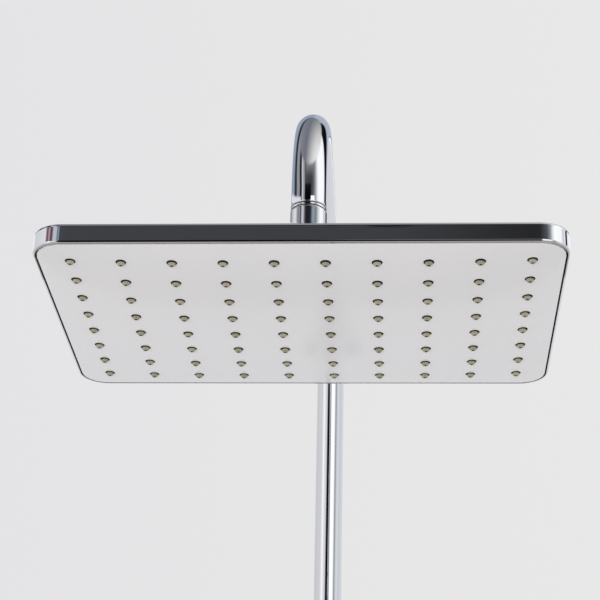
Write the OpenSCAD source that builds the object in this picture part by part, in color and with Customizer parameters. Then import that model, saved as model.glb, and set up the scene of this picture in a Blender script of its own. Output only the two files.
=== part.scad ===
// Shower system: rain head on a swivelling gooseneck arm, riser, wall bracket and bar valve.
// Millimetres. X to the right, +Y into the wall, +Z up. The origin is on the wall, behind the bracket.

/* [Rain head] */
// Width of the rain head
head_w = 305; // [270:5:400]
// Depth of the rain head, front to back
head_d = 203; // [190:1:300]
// Corner radius of the rim seen from below
head_corner_r = 18; // [12:1:30]
// Height of the rim band
rim_h = 12.5; // [10:0.5:14]
// Wall of the rim band
rim_wall = 1.5; // [1.3:0.1:3]
// Rise of the domed cover above the rim band
dome_rise = 10.5; // [10:0.5:16]
// Wall of the domed cover
cover_wall = 2.5; // [2:0.25:3]
// Height of the face above the wall bracket
face_height = 180; // [120:10:300]

/* [Face plate and nozzles] */
// Gap between the face plate and the rim
plate_gap = 0.6; // [0.5:0.1:1.2]
// Wall of the face plate
plate_wall = 2.5; // [2:0.25:3]
// Depth of the face plate's crown below its edge
crown_depth = 5; // [2:0.5:6]
// Nozzles across the width
nozzle_columns = 10; // [8:1:10]
// Nozzles across the depth
nozzle_rows = 8; // [6:1:8]
// Distance from the rim's outside to the outer nozzles, left and right
nozzle_edge_x = 21.1; // [18:0.1:26]
// Distance from the rim's outside to the outer nozzles, front and back
nozzle_edge_y = 21; // [18:0.5:26]
// Bore of a nozzle hole in the face plate
nozzle_hole_d = 6; // [5.6:0.2:8]
// Diameter of a nozzle inside its hole
nozzle_shank_d = 4.8; // [4:0.2:5.2]
// Diameter of a nozzle at its tip
nozzle_tip_d = 2.6; // [2:0.2:3.4]
// Height that a nozzle stands out of the face
nozzle_proud = 2.3; // [1.5:0.1:3]
// Bore of a nozzle's outlet
outlet_d = 1; // [0.8:0.1:1.4]
// Sheet of the nozzle mat
mat_wall = 1.2; // [1:0.1:1.6]
// Wall of the water plate
water_plate_wall = 2; // [1.5:0.25:2.5]
// Width of the chamber seal
seal_w = 2.5; // [2:0.25:3]
// Shank diameter of a chamber screw
chamber_screw_d = 2.8; // [2:0.2:3]

/* [Ball joint] */
// Diameter of the ball
ball_d = 22; // [20:0.5:24]
// Diameter of the neck above the ball
neck_d = 13; // [11:0.5:14]
// Water bore through the ball
ball_bore_d = 6.4; // [5:0.2:8]
// Distance from the ball's centre to the collar nut
neck_len = 18; // [17:1:26]
// Wall of the ball's plastic seats
seat_wall = 1.4; // [1.2:0.1:1.8]
// Wall of the boss around the ball
boss_wall = 2.4; // [2:0.2:3]
// Wall of the socket nut
nut_wall = 3; // [2.5:0.25:4]
// Skirt of the socket nut below the ball's centre
nut_skirt = 10.5; // [8:0.5:14]
// Section of the ball seal
ball_seal_d = 2.4; // [2:0.2:2.6]

/* [Arm] */
// Outside diameter of the tubes
tube_d = 22; // [20:0.5:25]
// Wall of the tubes
tube_wall = 1.2; // [1:0.1:1.5]
// Distance from the riser to the middle of the head
reach = 400; // [300:10:450]
// Height of the arm's centre line above the face
arm_rise = 167; // [150:1:200]
// Radius of the bend above the riser, at the centre line
riser_bend_r = 44; // [36:2:50]
// Length of the collar nut
collar_len = 21.5; // [20:0.5:30]
// Wall of the collar nut
collar_wall = 2.1; // [1.8:0.1:2.6]
// Height of the grooved ring above the collar nut
ring_h = 4; // [3:0.5:6]
// Length of the threaded insert inside the arm's end
insert_len = 5; // [4:0.5:5]
// Length of a fitting inside a tube's end
plug_len = 12; // [8:1:14]
// Wall of the fittings that carry water
fitting_wall = 2.5; // [2:0.25:3]

/* [Riser and wall bracket] */
// Distance from the wall to the riser's centre line
wall_gap = 65; // [60:5:90]
// Height of the riser's top above the bracket
riser_top = 20; // [16:2:60]
// Length of the riser socket above the riser
socket_len = 28; // [24:1:36]
// Wall of the swivel joint's nut
joint_nut_wall = 2; // [1.5:0.25:3]
// Height of the pipe clamp
clamp_h = 26; // [20:2:30]
// Wall of the pipe clamp
clamp_wall = 4; // [3:0.5:6]
// Diameter of the bracket's post
post_d = 14; // [12:1:16]
// Diameter of the bracket's base plate
base_d = 48; // [44:2:60]
// Thickness of the bracket's base plate
base_t = 5; // [4:0.5:6]
// Length of the base plate's boss
base_boss_len = 17; // [14:1:20]
// Distance between the wall screws
wall_screw_spacing = 30; // [28:1:32]
// Bore for a wall screw
wall_screw_d = 5; // [4:0.5:5.5]
// Depth of the bracket's cover
cover_depth = 10; // [9:0.5:12]

/* [Bar valve] */
// Height of the bracket above the valve
valve_drop = 740; // [500:10:900]
// Outside diameter of the valve
valve_d = 44; // [42:1:50]
// Distance between the wall unions
inlet_spacing = 150; // [140:1:152]
// Distance from a wall union to the near end of the valve body
valve_end = 18; // [17:1:30]
// Diameter of a half-inch pipe thread
thread_d = 20.96; // [20.9:0.02:21]
// Length of a wall union's thread
wall_thread_len = 16; // [12:1:20]
// Length of the hose outlet's thread
hose_thread_len = 12; // [10:1:14]
// Water bore of the unions
union_bore_d = 14; // [12:0.5:15]
// Wall of the union nuts
union_nut_wall = 2.5; // [2:0.25:3]
// Diameter of an escutcheon
escutcheon_d = 64; // [54:2:70]
// Depth of an escutcheon
escutcheon_h = 12; // [8:1:14]
// Diameter of the valve's end cavities
cavity_d = 30; // [28:0.5:31]
// Depth of the valve's end cavities
cavity_depth = 48; // [46:1:52]
// Length of a gland nut
gland_len = 8; // [6:0.5:10]
// Diameter of a spindle
spindle_d = 8; // [7:0.5:9]
// Length of the diverter's barrel
barrel_len = 36; // [32:1:40]

/* [Handles] */
// Length of a handle
handle_len = 46; // [42:1:56]
// Wall of a handle
handle_wall = 3; // [2.5:0.25:3.5]
// Depth of a handle's end cap
cap_t = 3; // [2.5:0.25:4]
// Width of the safety button
button_w = 8; // [6:0.5:9]
// Length of the safety button
button_len = 14; // [12:0.5:16]
// Height that the safety button stands out
button_proud = 2.2; // [2:0.1:3]

/* [Hidden] */
$fn = 64;
fine = 720;        // facets of the wide, flat arcs
fit = 0.1;         // radial gap of a running fit
clear = 0.3;       // gap between pieces that move past each other
over = 1;          // how far a cut runs past the face that it opens
thread_step = 3.3; // from the male thread's diameter out to a union nut's thread

chrome = "silver";
brass = "goldenrod";
white = "white";
silicone = "darkkhaki";
plastic = "dimgray";
rubber = "black";

// Heights in the head, above the face plate's edge
mat_top = plate_wall + mat_wall;
tray_top = rim_h - cover_wall;
chamber_top = tray_top - water_plate_wall;
flange_top = mat_top + 1.2;
seat_top = rim_h + dome_rise - cover_wall + fit;
pad_top = rim_h + dome_rise + 0.5;
ball_z = pad_top + nut_skirt;

// Insets from the head's outline
plate_inset = rim_wall + plate_gap;
flange_inset = rim_wall;
seal_inset = plate_inset + 3;
mat_inset = seal_inset + seal_w;
chamber_inset = mat_inset + 5;
tray_inset = chamber_inset - 3;

// Radii of the wide arcs of the crown and of the dome
function arc_r(half, rise) = (half * half + rise * rise) / (2 * rise);
crown_rx = arc_r(head_w / 2 - plate_inset, crown_depth);
crown_ry = arc_r(head_d / 2 - plate_inset, crown_depth);
dome_rx = arc_r(head_w / 2 - plate_inset, dome_rise);
dome_ry = arc_r(head_d / 2 - plate_inset, dome_rise);

// Nozzles, and the screw posts between them
function spread(count, span) = [for (i = [0:count - 1]) (i / (count - 1) - 0.5) * span];
function after(places, i) = (places[i] + places[i + 1]) / 2;
nozzle_xs = spread(nozzle_columns, head_w - 2 * nozzle_edge_x);
nozzle_ys = spread(nozzle_rows, head_d - 2 * nozzle_edge_y);
post_xs = [for (i = [1:2:nozzle_columns - 3]) after(nozzle_xs, i)];
post_ys = [for (i = [1, nozzle_rows - 3]) after(nozzle_ys, i)];
post_r = chamber_screw_d / 2 + 1.6;
screw_head_r = chamber_screw_d;
screw_head_h = 1.6;
function sag(v, r) = r - sqrt(r * r - v * v);
function crown_at(x, y) = max(sag(x, crown_rx), sag(y, crown_ry)) - crown_depth;

// Ball joint: the seats are zones of spheres about the ball's centre
ball_r = ball_d / 2;
neck_r = neck_d / 2;
seat_in_r = ball_r + fit;
seat_out_r = seat_in_r + seat_wall;
liner_low = -0.47 * seat_out_r;
liner_high = -0.24 * seat_out_r;
pocket_low = liner_low - 0.23 * seat_out_r;
retainer_low = 0.1 * seat_out_r;
retainer_high = 0.5 * ball_r;
retainer_r = seat_out_r + 0.5;
boss_in_r = retainer_r + fit;
boss_r = boss_in_r + boss_wall;
boss_top = retainer_high + clear;
nut_r = boss_r + nut_wall;
nut_lip = 4.2;
nut_top = boss_top + nut_lip;
nut_mouth_r = 0.9 * ball_r;
shoulder_r = boss_r + 4.5;
seal_section_r = ball_seal_d / 2;
seal_reach = ball_r + fit + seal_section_r;
seal_angle = 40;
chamber_inlet_r = ball_bore_d / 2 + 2;

// Arm
tube_r = tube_d / 2;
bore_r = tube_r - tube_wall;
collar_low = ball_z + neck_len;
collar_top = collar_low + collar_len;
collar_r = bore_r - 0.5 + collar_wall;
collar_lip = 3;
thread_r = bore_r - 0.5;
flange_t = 3;
washer_t = 2;
stem_flange_top = collar_low + collar_lip + flange_t;
insert_low = stem_flange_top + washer_t;
tube_low = collar_top + ring_h;
head_leg = insert_len + 4.5;
head_bend_r = arm_rise - tube_low - head_leg;
limiter_t = 4;
fitting_bore_r = thread_r - fitting_wall;

// Swivel joint between the arm and the riser
socket_r = tube_r + 1.5;
socket_flange_t = 6;
cup_low = riser_top + socket_flange_t;
glide_t = 2;
glide_low = riser_top + socket_len;
arm_foot = glide_low + glide_t + fit;
spigot_r = bore_r - 1.3;
spigot_low = cup_low + 1;
spigot_bore_r = spigot_r - 3;
foot_flange_r = socket_r - 0.5;
arm_tube_low = arm_foot + flange_t;
joint_lip_low = arm_tube_low + fit;
joint_nut_top = joint_lip_low + 4.4;
oring_r = 1;
oring_reach = spigot_r + fit / 2 - oring_r;
oring_zs = [spigot_low + 5, spigot_low + 11];

// Wall bracket
post_tail_r = post_d / 2 - 2;
boss_end = base_t + base_boss_len;
boss_outer_r = post_d / 2 + 2;
tail_depth = boss_end - base_t - 2;
cover_r = base_d / 2 + 4;
cover_skin = 1.2;
grub_r = 2;
grub_len = boss_outer_r - post_tail_r;

// Bar valve
valve_r = valve_d / 2;
half_body = inlet_spacing / 2 + valve_end;
cavity_r = cavity_d / 2;
cavity_floor = half_body - cavity_depth;
water_r = cavity_r - 3;
male_r = thread_d / 2;
union_bore_r = union_bore_d / 2;
port_r = male_r + thread_step;
port_len = 7;
union_flange_r = port_r - 0.8;
union_flange_t = 3;
union_washer_t = 2;
union_grip = port_len - 1;
union_lip = 3.5;
union_nut_r = port_r + union_nut_wall;
nut_chamfer = 1.5;
hose_shoulder_r = port_r;
hose_shoulder_t = 4;
gallery_r = 2.2;
gallery_reach = (valve_r + cavity_r) / 2;
inlet_xs = [-inlet_spacing / 2, inlet_spacing / 2];
port_end = valve_r + port_len;
inlet_face = wall_gap - port_end;
union_neck_r = male_r - 0.5;
union_collar_r = male_r + 2;

// Inside the valve
spindle_r = spindle_d / 2;
cartridge_in_r = cavity_r - 5;
cartridge_wall = 3;
cartridge_len = cavity_depth - gland_len;
wax_r = cartridge_in_r - 3;
wax_len = 0.55 * cartridge_len;
spindle_flange_r = cartridge_in_r - clear;
spindle_low = cavity_floor + cartridge_wall + wax_len + clear;
bush_in_r = water_r - 2.4;
barrel_r = bush_in_r - fit;
barrel_bore_r = barrel_r - 2;
window_r = 5;

// Handles
handle_r = valve_r;
handle_in_r = handle_r - handle_wall;
handle_gap = 0.6;
handle_low = half_body + handle_gap;
handle_top = handle_low + handle_len;
hub_r = spindle_r + 4;
hub_low = half_body + 6;
cap_low = handle_top - cap_t;
handle_floor = cap_low - 4;
screw_r = 2;
handle_screw_head_r = 3.6;
spindle_top = handle_floor - 4;
handle_screw_low = spindle_top - 8;
handle_screw_head_low = handle_floor;
stop_ring_t = 3;
stop_ring_r = handle_in_r - clear;
button_x = handle_low + 20;
button_top = handle_r + button_proud;
shoulder_w = 1.2;
shoulder_h = 1;
button_seat = sqrt(pow(handle_in_r, 2) - pow(button_w / 2, 2)) - fit;
button_low = button_seat - shoulder_h;
spring_r = button_w / 2 - 1.2;
spring_wall = 0.6;

// Frames of the three groups of pieces
module at_head() translate([0, -wall_gap - reach, face_height]) children();
module at_riser(z = 0) translate([0, -wall_gap, z]) children();
module at_valve() translate([0, -wall_gap, -valve_drop]) children();

// Turns the +Z axis of its child to +X, or to +Y
module along_x(x = 0) translate([x, 0, 0]) rotate([0, 90, 0]) children();
module along_y(y = 0) translate([0, y, 0]) rotate([-90, 0, 0]) children();

module sleeve(outer, inner, low, high) difference() {
    translate([0, 0, low]) cylinder(r = outer, h = high - low);
    translate([0, 0, low - over]) cylinder(r = inner, h = high - low + 2 * over);
}

module rod(r, low, high) translate([0, 0, low]) cylinder(r = r, h = high - low);

module torus(reach, r, z) translate([0, 0, z]) rotate_extrude() translate([reach, 0]) circle(r);

// Rounded outline of the head, set in from its edge
module outline(inset) {
    w = head_w - 2 * inset;
    d = head_d - 2 * inset;
    r = max(head_corner_r - inset, 3);
    square([w - 2 * r, d], center = true);
    square([w, d - 2 * r], center = true);
    for (sx = [-1, 1], sy = [-1, 1]) translate([sx * (w / 2 - r), sy * (d / 2 - r)]) circle(r);
}

module block(inset, low, high) translate([0, 0, low]) linear_extrude(high - low) outline(inset);

// Two crossed cylinders whose lowest lines, or highest with up = -1, lie at the height z
module arcs(rx, ry, z, up = 1) intersection() {
    translate([0, 0, z + up * rx]) rotate([90, 0, 0])
        cylinder(r = rx, h = head_d + 2 * over, center = true, $fn = fine);
    translate([0, 0, z + up * ry]) rotate([0, 90, 0])
        cylinder(r = ry, h = head_w + 2 * over, center = true, $fn = fine);
}

// Space above the crowned face, lifted by a number of millimetres
module above_crown(inset, lift, high) intersection() {
    block(inset, lift - crown_depth - over, high);
    arcs(crown_rx, crown_ry, lift - crown_depth);
}

module crowned_sheet(inset, lift, wall) difference() {
    above_crown(inset, lift, lift + wall + over);
    above_crown(inset - over, lift + wall, lift + wall + 2 * over);
}

module under_dome(inset, high) intersection() {
    block(inset, 0, high + over);
    arcs(dome_rx, dome_ry, high, up = -1);
}

module at_posts() for (x = post_xs, y = post_ys) translate([x, y, 0]) children();
module at_nozzles() for (x = nozzle_xs, y = nozzle_ys) translate([x, y, crown_at(x, y)]) children();

// Rain head, from the outside in
module head_shell() color(chrome) at_head() difference() {
    union() {
        block(0, 0, rim_h);
        under_dome(plate_inset, rim_h + dome_rise);
        rod(nut_r + 2.5, rim_h, pad_top);
    }
    block(rim_wall, -over, tray_top);
    under_dome(plate_inset + 1, rim_h + dome_rise - cover_wall);
    rod(shoulder_r + fit, rim_h, seat_top);
    rod(boss_r + fit, 0, pad_top + over);
}

module face_plate() color(white) at_head() difference() {
    union() {
        crowned_sheet(plate_inset, 0, plate_wall);
        intersection() {
            at_posts() rod(post_r, -crown_depth, chamber_top);
            above_crown(plate_inset, plate_wall / 2, chamber_top);
        }
    }
    at_nozzles() rod(nozzle_hole_d / 2, -over, plate_wall + over);
    at_posts() rod(chamber_screw_d / 2, mat_top - crown_depth, chamber_top + over);
}

module nozzle_mat() color(silicone) at_head() difference() {
    union() {
        crowned_sheet(mat_inset, plate_wall, mat_wall);
        at_nozzles() {
            rod(nozzle_shank_d / 2, 0, plate_wall + mat_wall / 2);
            translate([0, 0, -nozzle_proud])
                cylinder(r1 = nozzle_tip_d / 2, r2 = nozzle_shank_d / 2, h = nozzle_proud);
        }
    }
    at_nozzles() {
        rod(nozzle_tip_d / 2, 0, mat_top + over);
        rod(outlet_d / 2, -nozzle_proud - over, over);
    }
    at_posts() rod(post_r + fit, -crown_depth, mat_top + over);
}

module water_plate() color(plastic) at_head() difference() {
    union() {
        above_crown(flange_inset, plate_wall, flange_top);
        above_crown(tray_inset, plate_wall, tray_top);
        rod(shoulder_r, chamber_top, seat_top);
        rod(boss_r, chamber_top, ball_z + boss_top);
    }
    difference() {
        block(seal_inset, -crown_depth, flange_top);
        above_crown(0, mat_top, flange_top + over);
    }
    block(chamber_inset, -crown_depth, chamber_top);
    at_posts() rod(chamber_screw_d / 2, 0, tray_top + over);
    rod(chamber_inlet_r, 0, ball_z);
    translate([0, 0, ball_z]) {
        sphere(ball_r + clear);
        torus(seal_reach * sin(seal_angle), seal_section_r + fit / 2, -seal_reach * cos(seal_angle));
        intersection() {
            sphere(seat_out_r + fit);
            rod(seat_out_r + over, pocket_low, over);
        }
        rod(boss_in_r, 0, boss_top + over);
    }
}

module chamber_seal() color(rubber) at_head() difference() {
    crowned_sheet(seal_inset, plate_wall + fit, mat_wall - fit);
    block(mat_inset, -crown_depth, mat_top + over);
}

module chamber_screws() color(chrome) at_head() at_posts() {
    rod(chamber_screw_d / 2, mat_top + fit, tray_top + fit);
    rod(screw_head_r, tray_top, tray_top + screw_head_h);
}

module ball_seal() color(rubber) at_head()
    torus(seal_reach * sin(seal_angle), seal_section_r, ball_z - seal_reach * cos(seal_angle));

// Zone of the ball's seat between two heights from the ball's centre
module seat_zone(outer, low, high) at_head() translate([0, 0, ball_z]) difference() {
    intersection() {
        rod(outer + over, low, high);
        union() {
            sphere(seat_out_r);
            if (outer > seat_out_r) rod(outer, low, high);
        }
    }
    sphere(seat_in_r);
}

module ball_cup_liner() color(plastic) seat_zone(seat_out_r, liner_low, liner_high);

module ball_retainer_ring() color(plastic) seat_zone(retainer_r, retainer_low, retainer_high);

module socket_nut() color(chrome) at_head() difference() {
    rod(nut_r, pad_top, ball_z + nut_top);
    rod(boss_r, pad_top - over, ball_z + boss_top);
    translate([0, 0, ball_z + boss_top - fit])
        cylinder(r1 = nut_mouth_r, r2 = nut_mouth_r + 1.4, h = nut_lip + 2 * fit);
}

// Arm, from the ball up and back to the riser
module ball_stem() color(chrome) at_head() difference() {
    union() {
        translate([0, 0, ball_z]) sphere(ball_r);
        rod(neck_r, ball_z, collar_low + collar_lip);
        rod(thread_r, collar_low + collar_lip, stem_flange_top);
    }
    rod(ball_bore_d / 2, ball_z - ball_r - over, stem_flange_top + over);
}

module collar_nut() color(chrome) at_head() difference() {
    rod(collar_r, collar_low, collar_top);
    rod(neck_r + fit, collar_low - over, collar_low + collar_lip + over);
    rod(thread_r, collar_low + collar_lip, collar_top + over);
}

module filter_washer() color(rubber) at_head()
    sleeve(thread_r, ball_bore_d / 2, stem_flange_top, insert_low);

module flow_limiter() color(plastic) at_head()
    sleeve(fitting_bore_r, ball_bore_d / 4, insert_low, insert_low + limiter_t);

module arm_insert() color(brass) at_head() difference() {
    union() {
        rod(thread_r, insert_low, tube_low + insert_len);
        rod(bore_r, tube_low, tube_low + insert_len);
    }
    rod(fitting_bore_r, insert_low - over, tube_low + insert_len + over);
}

module collar_ring() color(chrome) at_head() difference() {
    sleeve(tube_r + 0.2, thread_r, collar_top, tube_low);
    for (share = [0.3, 0.7]) torus(tube_r + 0.2, 0.4, collar_top + share * ring_h);
}

// Gooseneck of one radius: head leg, wide bend, run to the wall, bend, riser leg
module gooseneck(r, extra) {
    arm_z = face_height + arm_rise;
    head_low = face_height + tube_low - extra;
    translate([0, -wall_gap - reach, 0]) rod(r, head_low, arm_z - head_bend_r);
    translate([0, -wall_gap, 0]) rod(r, arm_tube_low - extra, arm_z - riser_bend_r);
    translate([0, -wall_gap - reach + head_bend_r, arm_z]) rotate([-90, 0, 0])
        cylinder(r = r, h = reach - head_bend_r - riser_bend_r);
    translate([0, -wall_gap - reach + head_bend_r, arm_z - head_bend_r]) rotate([90, 0, -90])
        rotate_extrude(angle = 90) translate([head_bend_r, 0]) circle(r);
    translate([0, -wall_gap - riser_bend_r, arm_z - riser_bend_r]) rotate([90, 0, 90])
        rotate_extrude(angle = 90) translate([riser_bend_r, 0]) circle(r);
}

module arm_tube() color(chrome) difference() {
    gooseneck(tube_r, 0);
    gooseneck(bore_r, over);
}

module arm_connector() color(brass) at_riser() difference() {
    union() {
        rod(spigot_r, spigot_low, arm_foot);
        rod(foot_flange_r, arm_foot, arm_tube_low);
        rod(bore_r, arm_tube_low, arm_tube_low + plug_len);
    }
    rod(spigot_bore_r, spigot_low - over, arm_tube_low + plug_len + over);
    for (z = oring_zs) torus(oring_reach, oring_r, z);
}

module connector_seals() color(rubber) at_riser() for (z = oring_zs) torus(oring_reach, oring_r, z);

// Riser, its socket and its nut
module riser_socket() color(chrome) at_riser() difference() {
    union() {
        rod(bore_r, riser_top - plug_len, cup_low);
        rod(socket_r, riser_top, glide_low);
    }
    rod(spigot_bore_r, riser_top - plug_len - over, cup_low + over);
    rod(spigot_r + fit, cup_low, glide_low + over);
}

module glide_ring() color(plastic) at_riser()
    sleeve(socket_r - clear, spigot_r + fit, glide_low, glide_low + glide_t);

module joint_nut() color(chrome) at_riser() difference() {
    rod(socket_r + joint_nut_wall, riser_top + 8, joint_nut_top);
    rod(socket_r, riser_top + 8 - over, joint_lip_low);
    rod(tube_r + clear, riser_top, joint_nut_top + over);
}

riser_low = -valve_drop + port_end + union_washer_t + union_flange_t;

module riser_tube() color(chrome) at_riser() sleeve(tube_r, bore_r, riser_low, riser_top);

// Wall bracket
module bracket_base() color(brass) difference() {
    union() {
        along_y(-base_t) cylinder(r = base_d / 2, h = base_t);
        along_y(-boss_end) cylinder(r = boss_outer_r, h = base_boss_len + over);
    }
    along_y(-boss_end - over) cylinder(r = post_tail_r, h = tail_depth + over);
    for (side = [-1, 1]) translate([0, 0, side * wall_screw_spacing / 2])
        along_y(-base_t - over) cylinder(r = wall_screw_d / 2, h = base_t + 2 * over);
    translate([0, tail_depth / 2 - boss_end, 0]) rod(grub_r, -boss_outer_r - over, 0);
}

module bracket_cover() color(chrome) difference() {
    along_y(-cover_depth) cylinder(r = cover_r, h = cover_depth);
    along_y(-cover_depth + cover_skin) cylinder(r = cover_r - cover_skin, h = cover_depth);
    along_y(-cover_depth - over) cylinder(r = boss_outer_r, h = cover_depth);
}

module bracket_post() color(chrome) difference() {
    union() {
        at_riser() rod(tube_r + clamp_wall, -clamp_h / 2, clamp_h / 2);
        along_y(-wall_gap + tube_r) cylinder(r = post_d / 2, h = wall_gap - tube_r - boss_end);
        along_y(-boss_end - over) cylinder(r = post_tail_r, h = tail_depth + over);
    }
    at_riser() rod(tube_r, -clamp_h / 2 - over, clamp_h / 2 + over);
}

module bracket_grub_screw() color(plastic) translate([0, tail_depth / 2 - boss_end, 0])
    rod(grub_r, -post_tail_r - grub_len, -post_tail_r);

// Union parts along +Z, with the port's face at z = 0
module union_washer() sleeve(union_flange_r, union_bore_r, 0, union_washer_t);

module chamfered(r, low, high, chamfer) {
    translate([0, 0, low]) cylinder(r1 = r - chamfer, r2 = r, h = chamfer);
    rod(r, low + chamfer, high - chamfer);
    translate([0, 0, high - chamfer]) cylinder(r1 = r, r2 = r - chamfer, h = chamfer);
}

// Hexagon with two flats facing left and right, its corners chamfered at both ends
module hexagon(flat_r, low, high) intersection() {
    translate([0, 0, low]) rotate(30) cylinder(r = flat_r / cos(30), h = high - low, $fn = 6);
    chamfered(flat_r / cos(30), low, high, nut_chamfer);
}

module union_nut(pipe_r) difference() {
    hexagon(union_nut_r, -union_grip, union_washer_t + union_flange_t + union_lip);
    rod(port_r, -union_grip - over, union_washer_t + union_flange_t);
    rod(pipe_r + fit, 0, union_washer_t + union_flange_t + union_lip + over);
}

module riser_end_fitting() color(brass) at_riser() difference() {
    union() {
        rod(union_flange_r, riser_low - union_flange_t, riser_low);
        rod(bore_r, riser_low, riser_low + plug_len);
    }
    rod(bore_r - fitting_wall, riser_low - union_flange_t - over, riser_low + plug_len + over);
}

module riser_union_washer() color(rubber) at_valve() translate([0, 0, port_end]) union_washer();

module riser_union_nut() color(chrome) at_valve() translate([0, 0, port_end]) union_nut(tube_r);

// Bar valve
module valve_body() color(chrome) at_valve() difference() {
    union() {
        along_x(-half_body) cylinder(r = valve_r, h = 2 * half_body);
        rod(port_r, 0, port_end);
        rod(hose_shoulder_r, -port_end, 0);
        for (x = inlet_xs) translate([x, 0, 0]) along_y() cylinder(r = port_r, h = port_end);
    }
    along_x(cavity_floor) cylinder(r = cavity_r, h = cavity_depth + over);
    along_x(-half_body - over) cylinder(r = cavity_r, h = cavity_depth + over);
    along_x(-half_body) cylinder(r = water_r, h = 2 * half_body);
    rod(union_bore_r, 0, port_end + over);
    rod(male_r - 1.5, -port_end - over, 0);
    translate([inlet_xs[1], 0, 0]) along_y() cylinder(r = union_bore_r, h = port_end + over);
    translate([inlet_xs[0], 0, 0]) along_y(cavity_r + 1.5) cylinder(r = union_bore_r, h = port_end);
    translate([inlet_xs[0], gallery_reach, 0]) rotate([0, 90, 0])
        cylinder(r = gallery_r, h = -inlet_xs[0] + cavity_floor + 8);
    translate([cavity_floor + 6, 0, 0]) along_y() cylinder(r = gallery_r, h = gallery_reach + gallery_r);
}

module hose_outlet() color(chrome) at_valve() difference() {
    union() {
        rod(male_r, -port_end - hose_shoulder_t - hose_thread_len, -port_end);
        rod(hose_shoulder_r, -port_end - hose_shoulder_t, -port_end);
        rod(male_r - 1.5, -port_end, -port_end + port_len);
    }
    rod(union_bore_r, -port_end - hose_shoulder_t - hose_thread_len - over, 0);
}

module at_inlet(side) at_valve() translate([inlet_xs[side], 0, 0]) along_y(port_end) children();

module wall_union() difference() {
    union() {
        rod(union_flange_r, union_washer_t, union_washer_t + union_flange_t);
        rod(union_neck_r, union_washer_t, inlet_face);
        rod(union_collar_r, inlet_face - escutcheon_h - 2, inlet_face - 2);
        rod(male_r, inlet_face, inlet_face + wall_thread_len);
    }
    rod(union_bore_r, 0, inlet_face + wall_thread_len + over);
}

module escutcheon() difference() {
    translate([0, 0, inlet_face - escutcheon_h])
        cylinder(r1 = escutcheon_d / 2 - 6, r2 = escutcheon_d / 2, h = escutcheon_h);
    translate([0, 0, inlet_face - escutcheon_h + cover_skin])
        cylinder(r1 = escutcheon_d / 2 - 7, r2 = escutcheon_d / 2 - cover_skin, h = escutcheon_h);
    rod(union_collar_r, 0, inlet_face);
}

module hot_wall_union() color(chrome) at_inlet(0) wall_union();
module cold_wall_union() color(chrome) at_inlet(1) wall_union();
module hot_union_nut() color(chrome) at_inlet(0) union_nut(union_neck_r);
module cold_union_nut() color(chrome) at_inlet(1) union_nut(union_neck_r);
module inlet_union_washers() color(rubber) for (side = [0, 1]) at_inlet(side) union_washer();
module hot_escutcheon() color(chrome) at_inlet(0) escutcheon();
module cold_escutcheon() color(chrome) at_inlet(1) escutcheon();

module inlet_filters() color(plastic) for (side = [0, 1]) at_inlet(side)
    sleeve(union_bore_r, union_bore_r / 2, -2, 0);

module check_valves() color(plastic) for (side = [0, 1]) at_inlet(side)
    sleeve(union_bore_r, union_bore_r / 3, -port_len - 3, -2);

// Cartridge in the right-hand cavity: a ported cup with a hole for its spindle
module cartridge() difference() {
    along_x(cavity_floor) cylinder(r = cavity_r, h = cartridge_len);
    along_x(cavity_floor + cartridge_wall)
        cylinder(r = cartridge_in_r, h = cartridge_len - 2 * cartridge_wall);
    along_x(cavity_floor - over) cylinder(r = wax_r - 2, h = cartridge_wall + 2 * over);
    along_x(cavity_floor) cylinder(r = spindle_r + fit, h = cartridge_len + over);
    for (x = [cavity_floor + 6, inlet_spacing / 2]) translate([x, 0, 0])
        along_y(-cavity_r - over) cylinder(r = gallery_r, h = 2 * cavity_r + 2 * over);
}

module gland_nut() difference() {
    along_x(half_body - gland_len) cylinder(r = cavity_r, h = gland_len);
    along_x(half_body - gland_len - over) cylinder(r = spindle_r + fit, h = gland_len + 2 * over);
}

module thermostatic_cartridge() color(plastic) at_valve() cartridge();
module thermostat_gland_nut() color(brass) at_valve() gland_nut();
module diverter_cartridge() color(plastic) at_valve() mirror([1, 0, 0]) cartridge();
module diverter_gland_nut() color(brass) at_valve() mirror([1, 0, 0]) gland_nut();

module wax_element() color(brass) at_valve()
    along_x(cavity_floor + cartridge_wall) cylinder(r = wax_r, h = wax_len);

module thermostat_spindle() color(brass) at_valve() difference() {
    union() {
        along_x(spindle_low) cylinder(r = spindle_flange_r, h = 4);
        along_x(spindle_low) cylinder(r = spindle_r, h = spindle_top - spindle_low);
    }
    along_x(handle_screw_low) cylinder(r = screw_r, h = handle_len);
}

module diverter_bush() color(plastic) at_valve() difference() {
    along_x(-barrel_len / 2 - 3) cylinder(r = water_r, h = barrel_len + 6);
    along_x(-barrel_len / 2 - clear) cylinder(r = bush_in_r, h = barrel_len + 6);
    along_x(-barrel_len) cylinder(r = spindle_r + fit, h = barrel_len);
    rod(window_r, -water_r - over, water_r + over);
}

module diverter_barrel() color(brass) at_valve() difference() {
    union() {
        along_x(-barrel_len / 2) cylinder(r = barrel_r, h = barrel_len);
        along_x(-spindle_top) cylinder(r = spindle_r, h = spindle_top);
    }
    along_x(-barrel_len / 2 + 3) cylinder(r = barrel_bore_r, h = barrel_len);
    along_y(-barrel_r - over) cylinder(r = window_r, h = barrel_r);
    along_x(-handle_screw_low - handle_len) cylinder(r = screw_r, h = handle_len);
}

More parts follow.
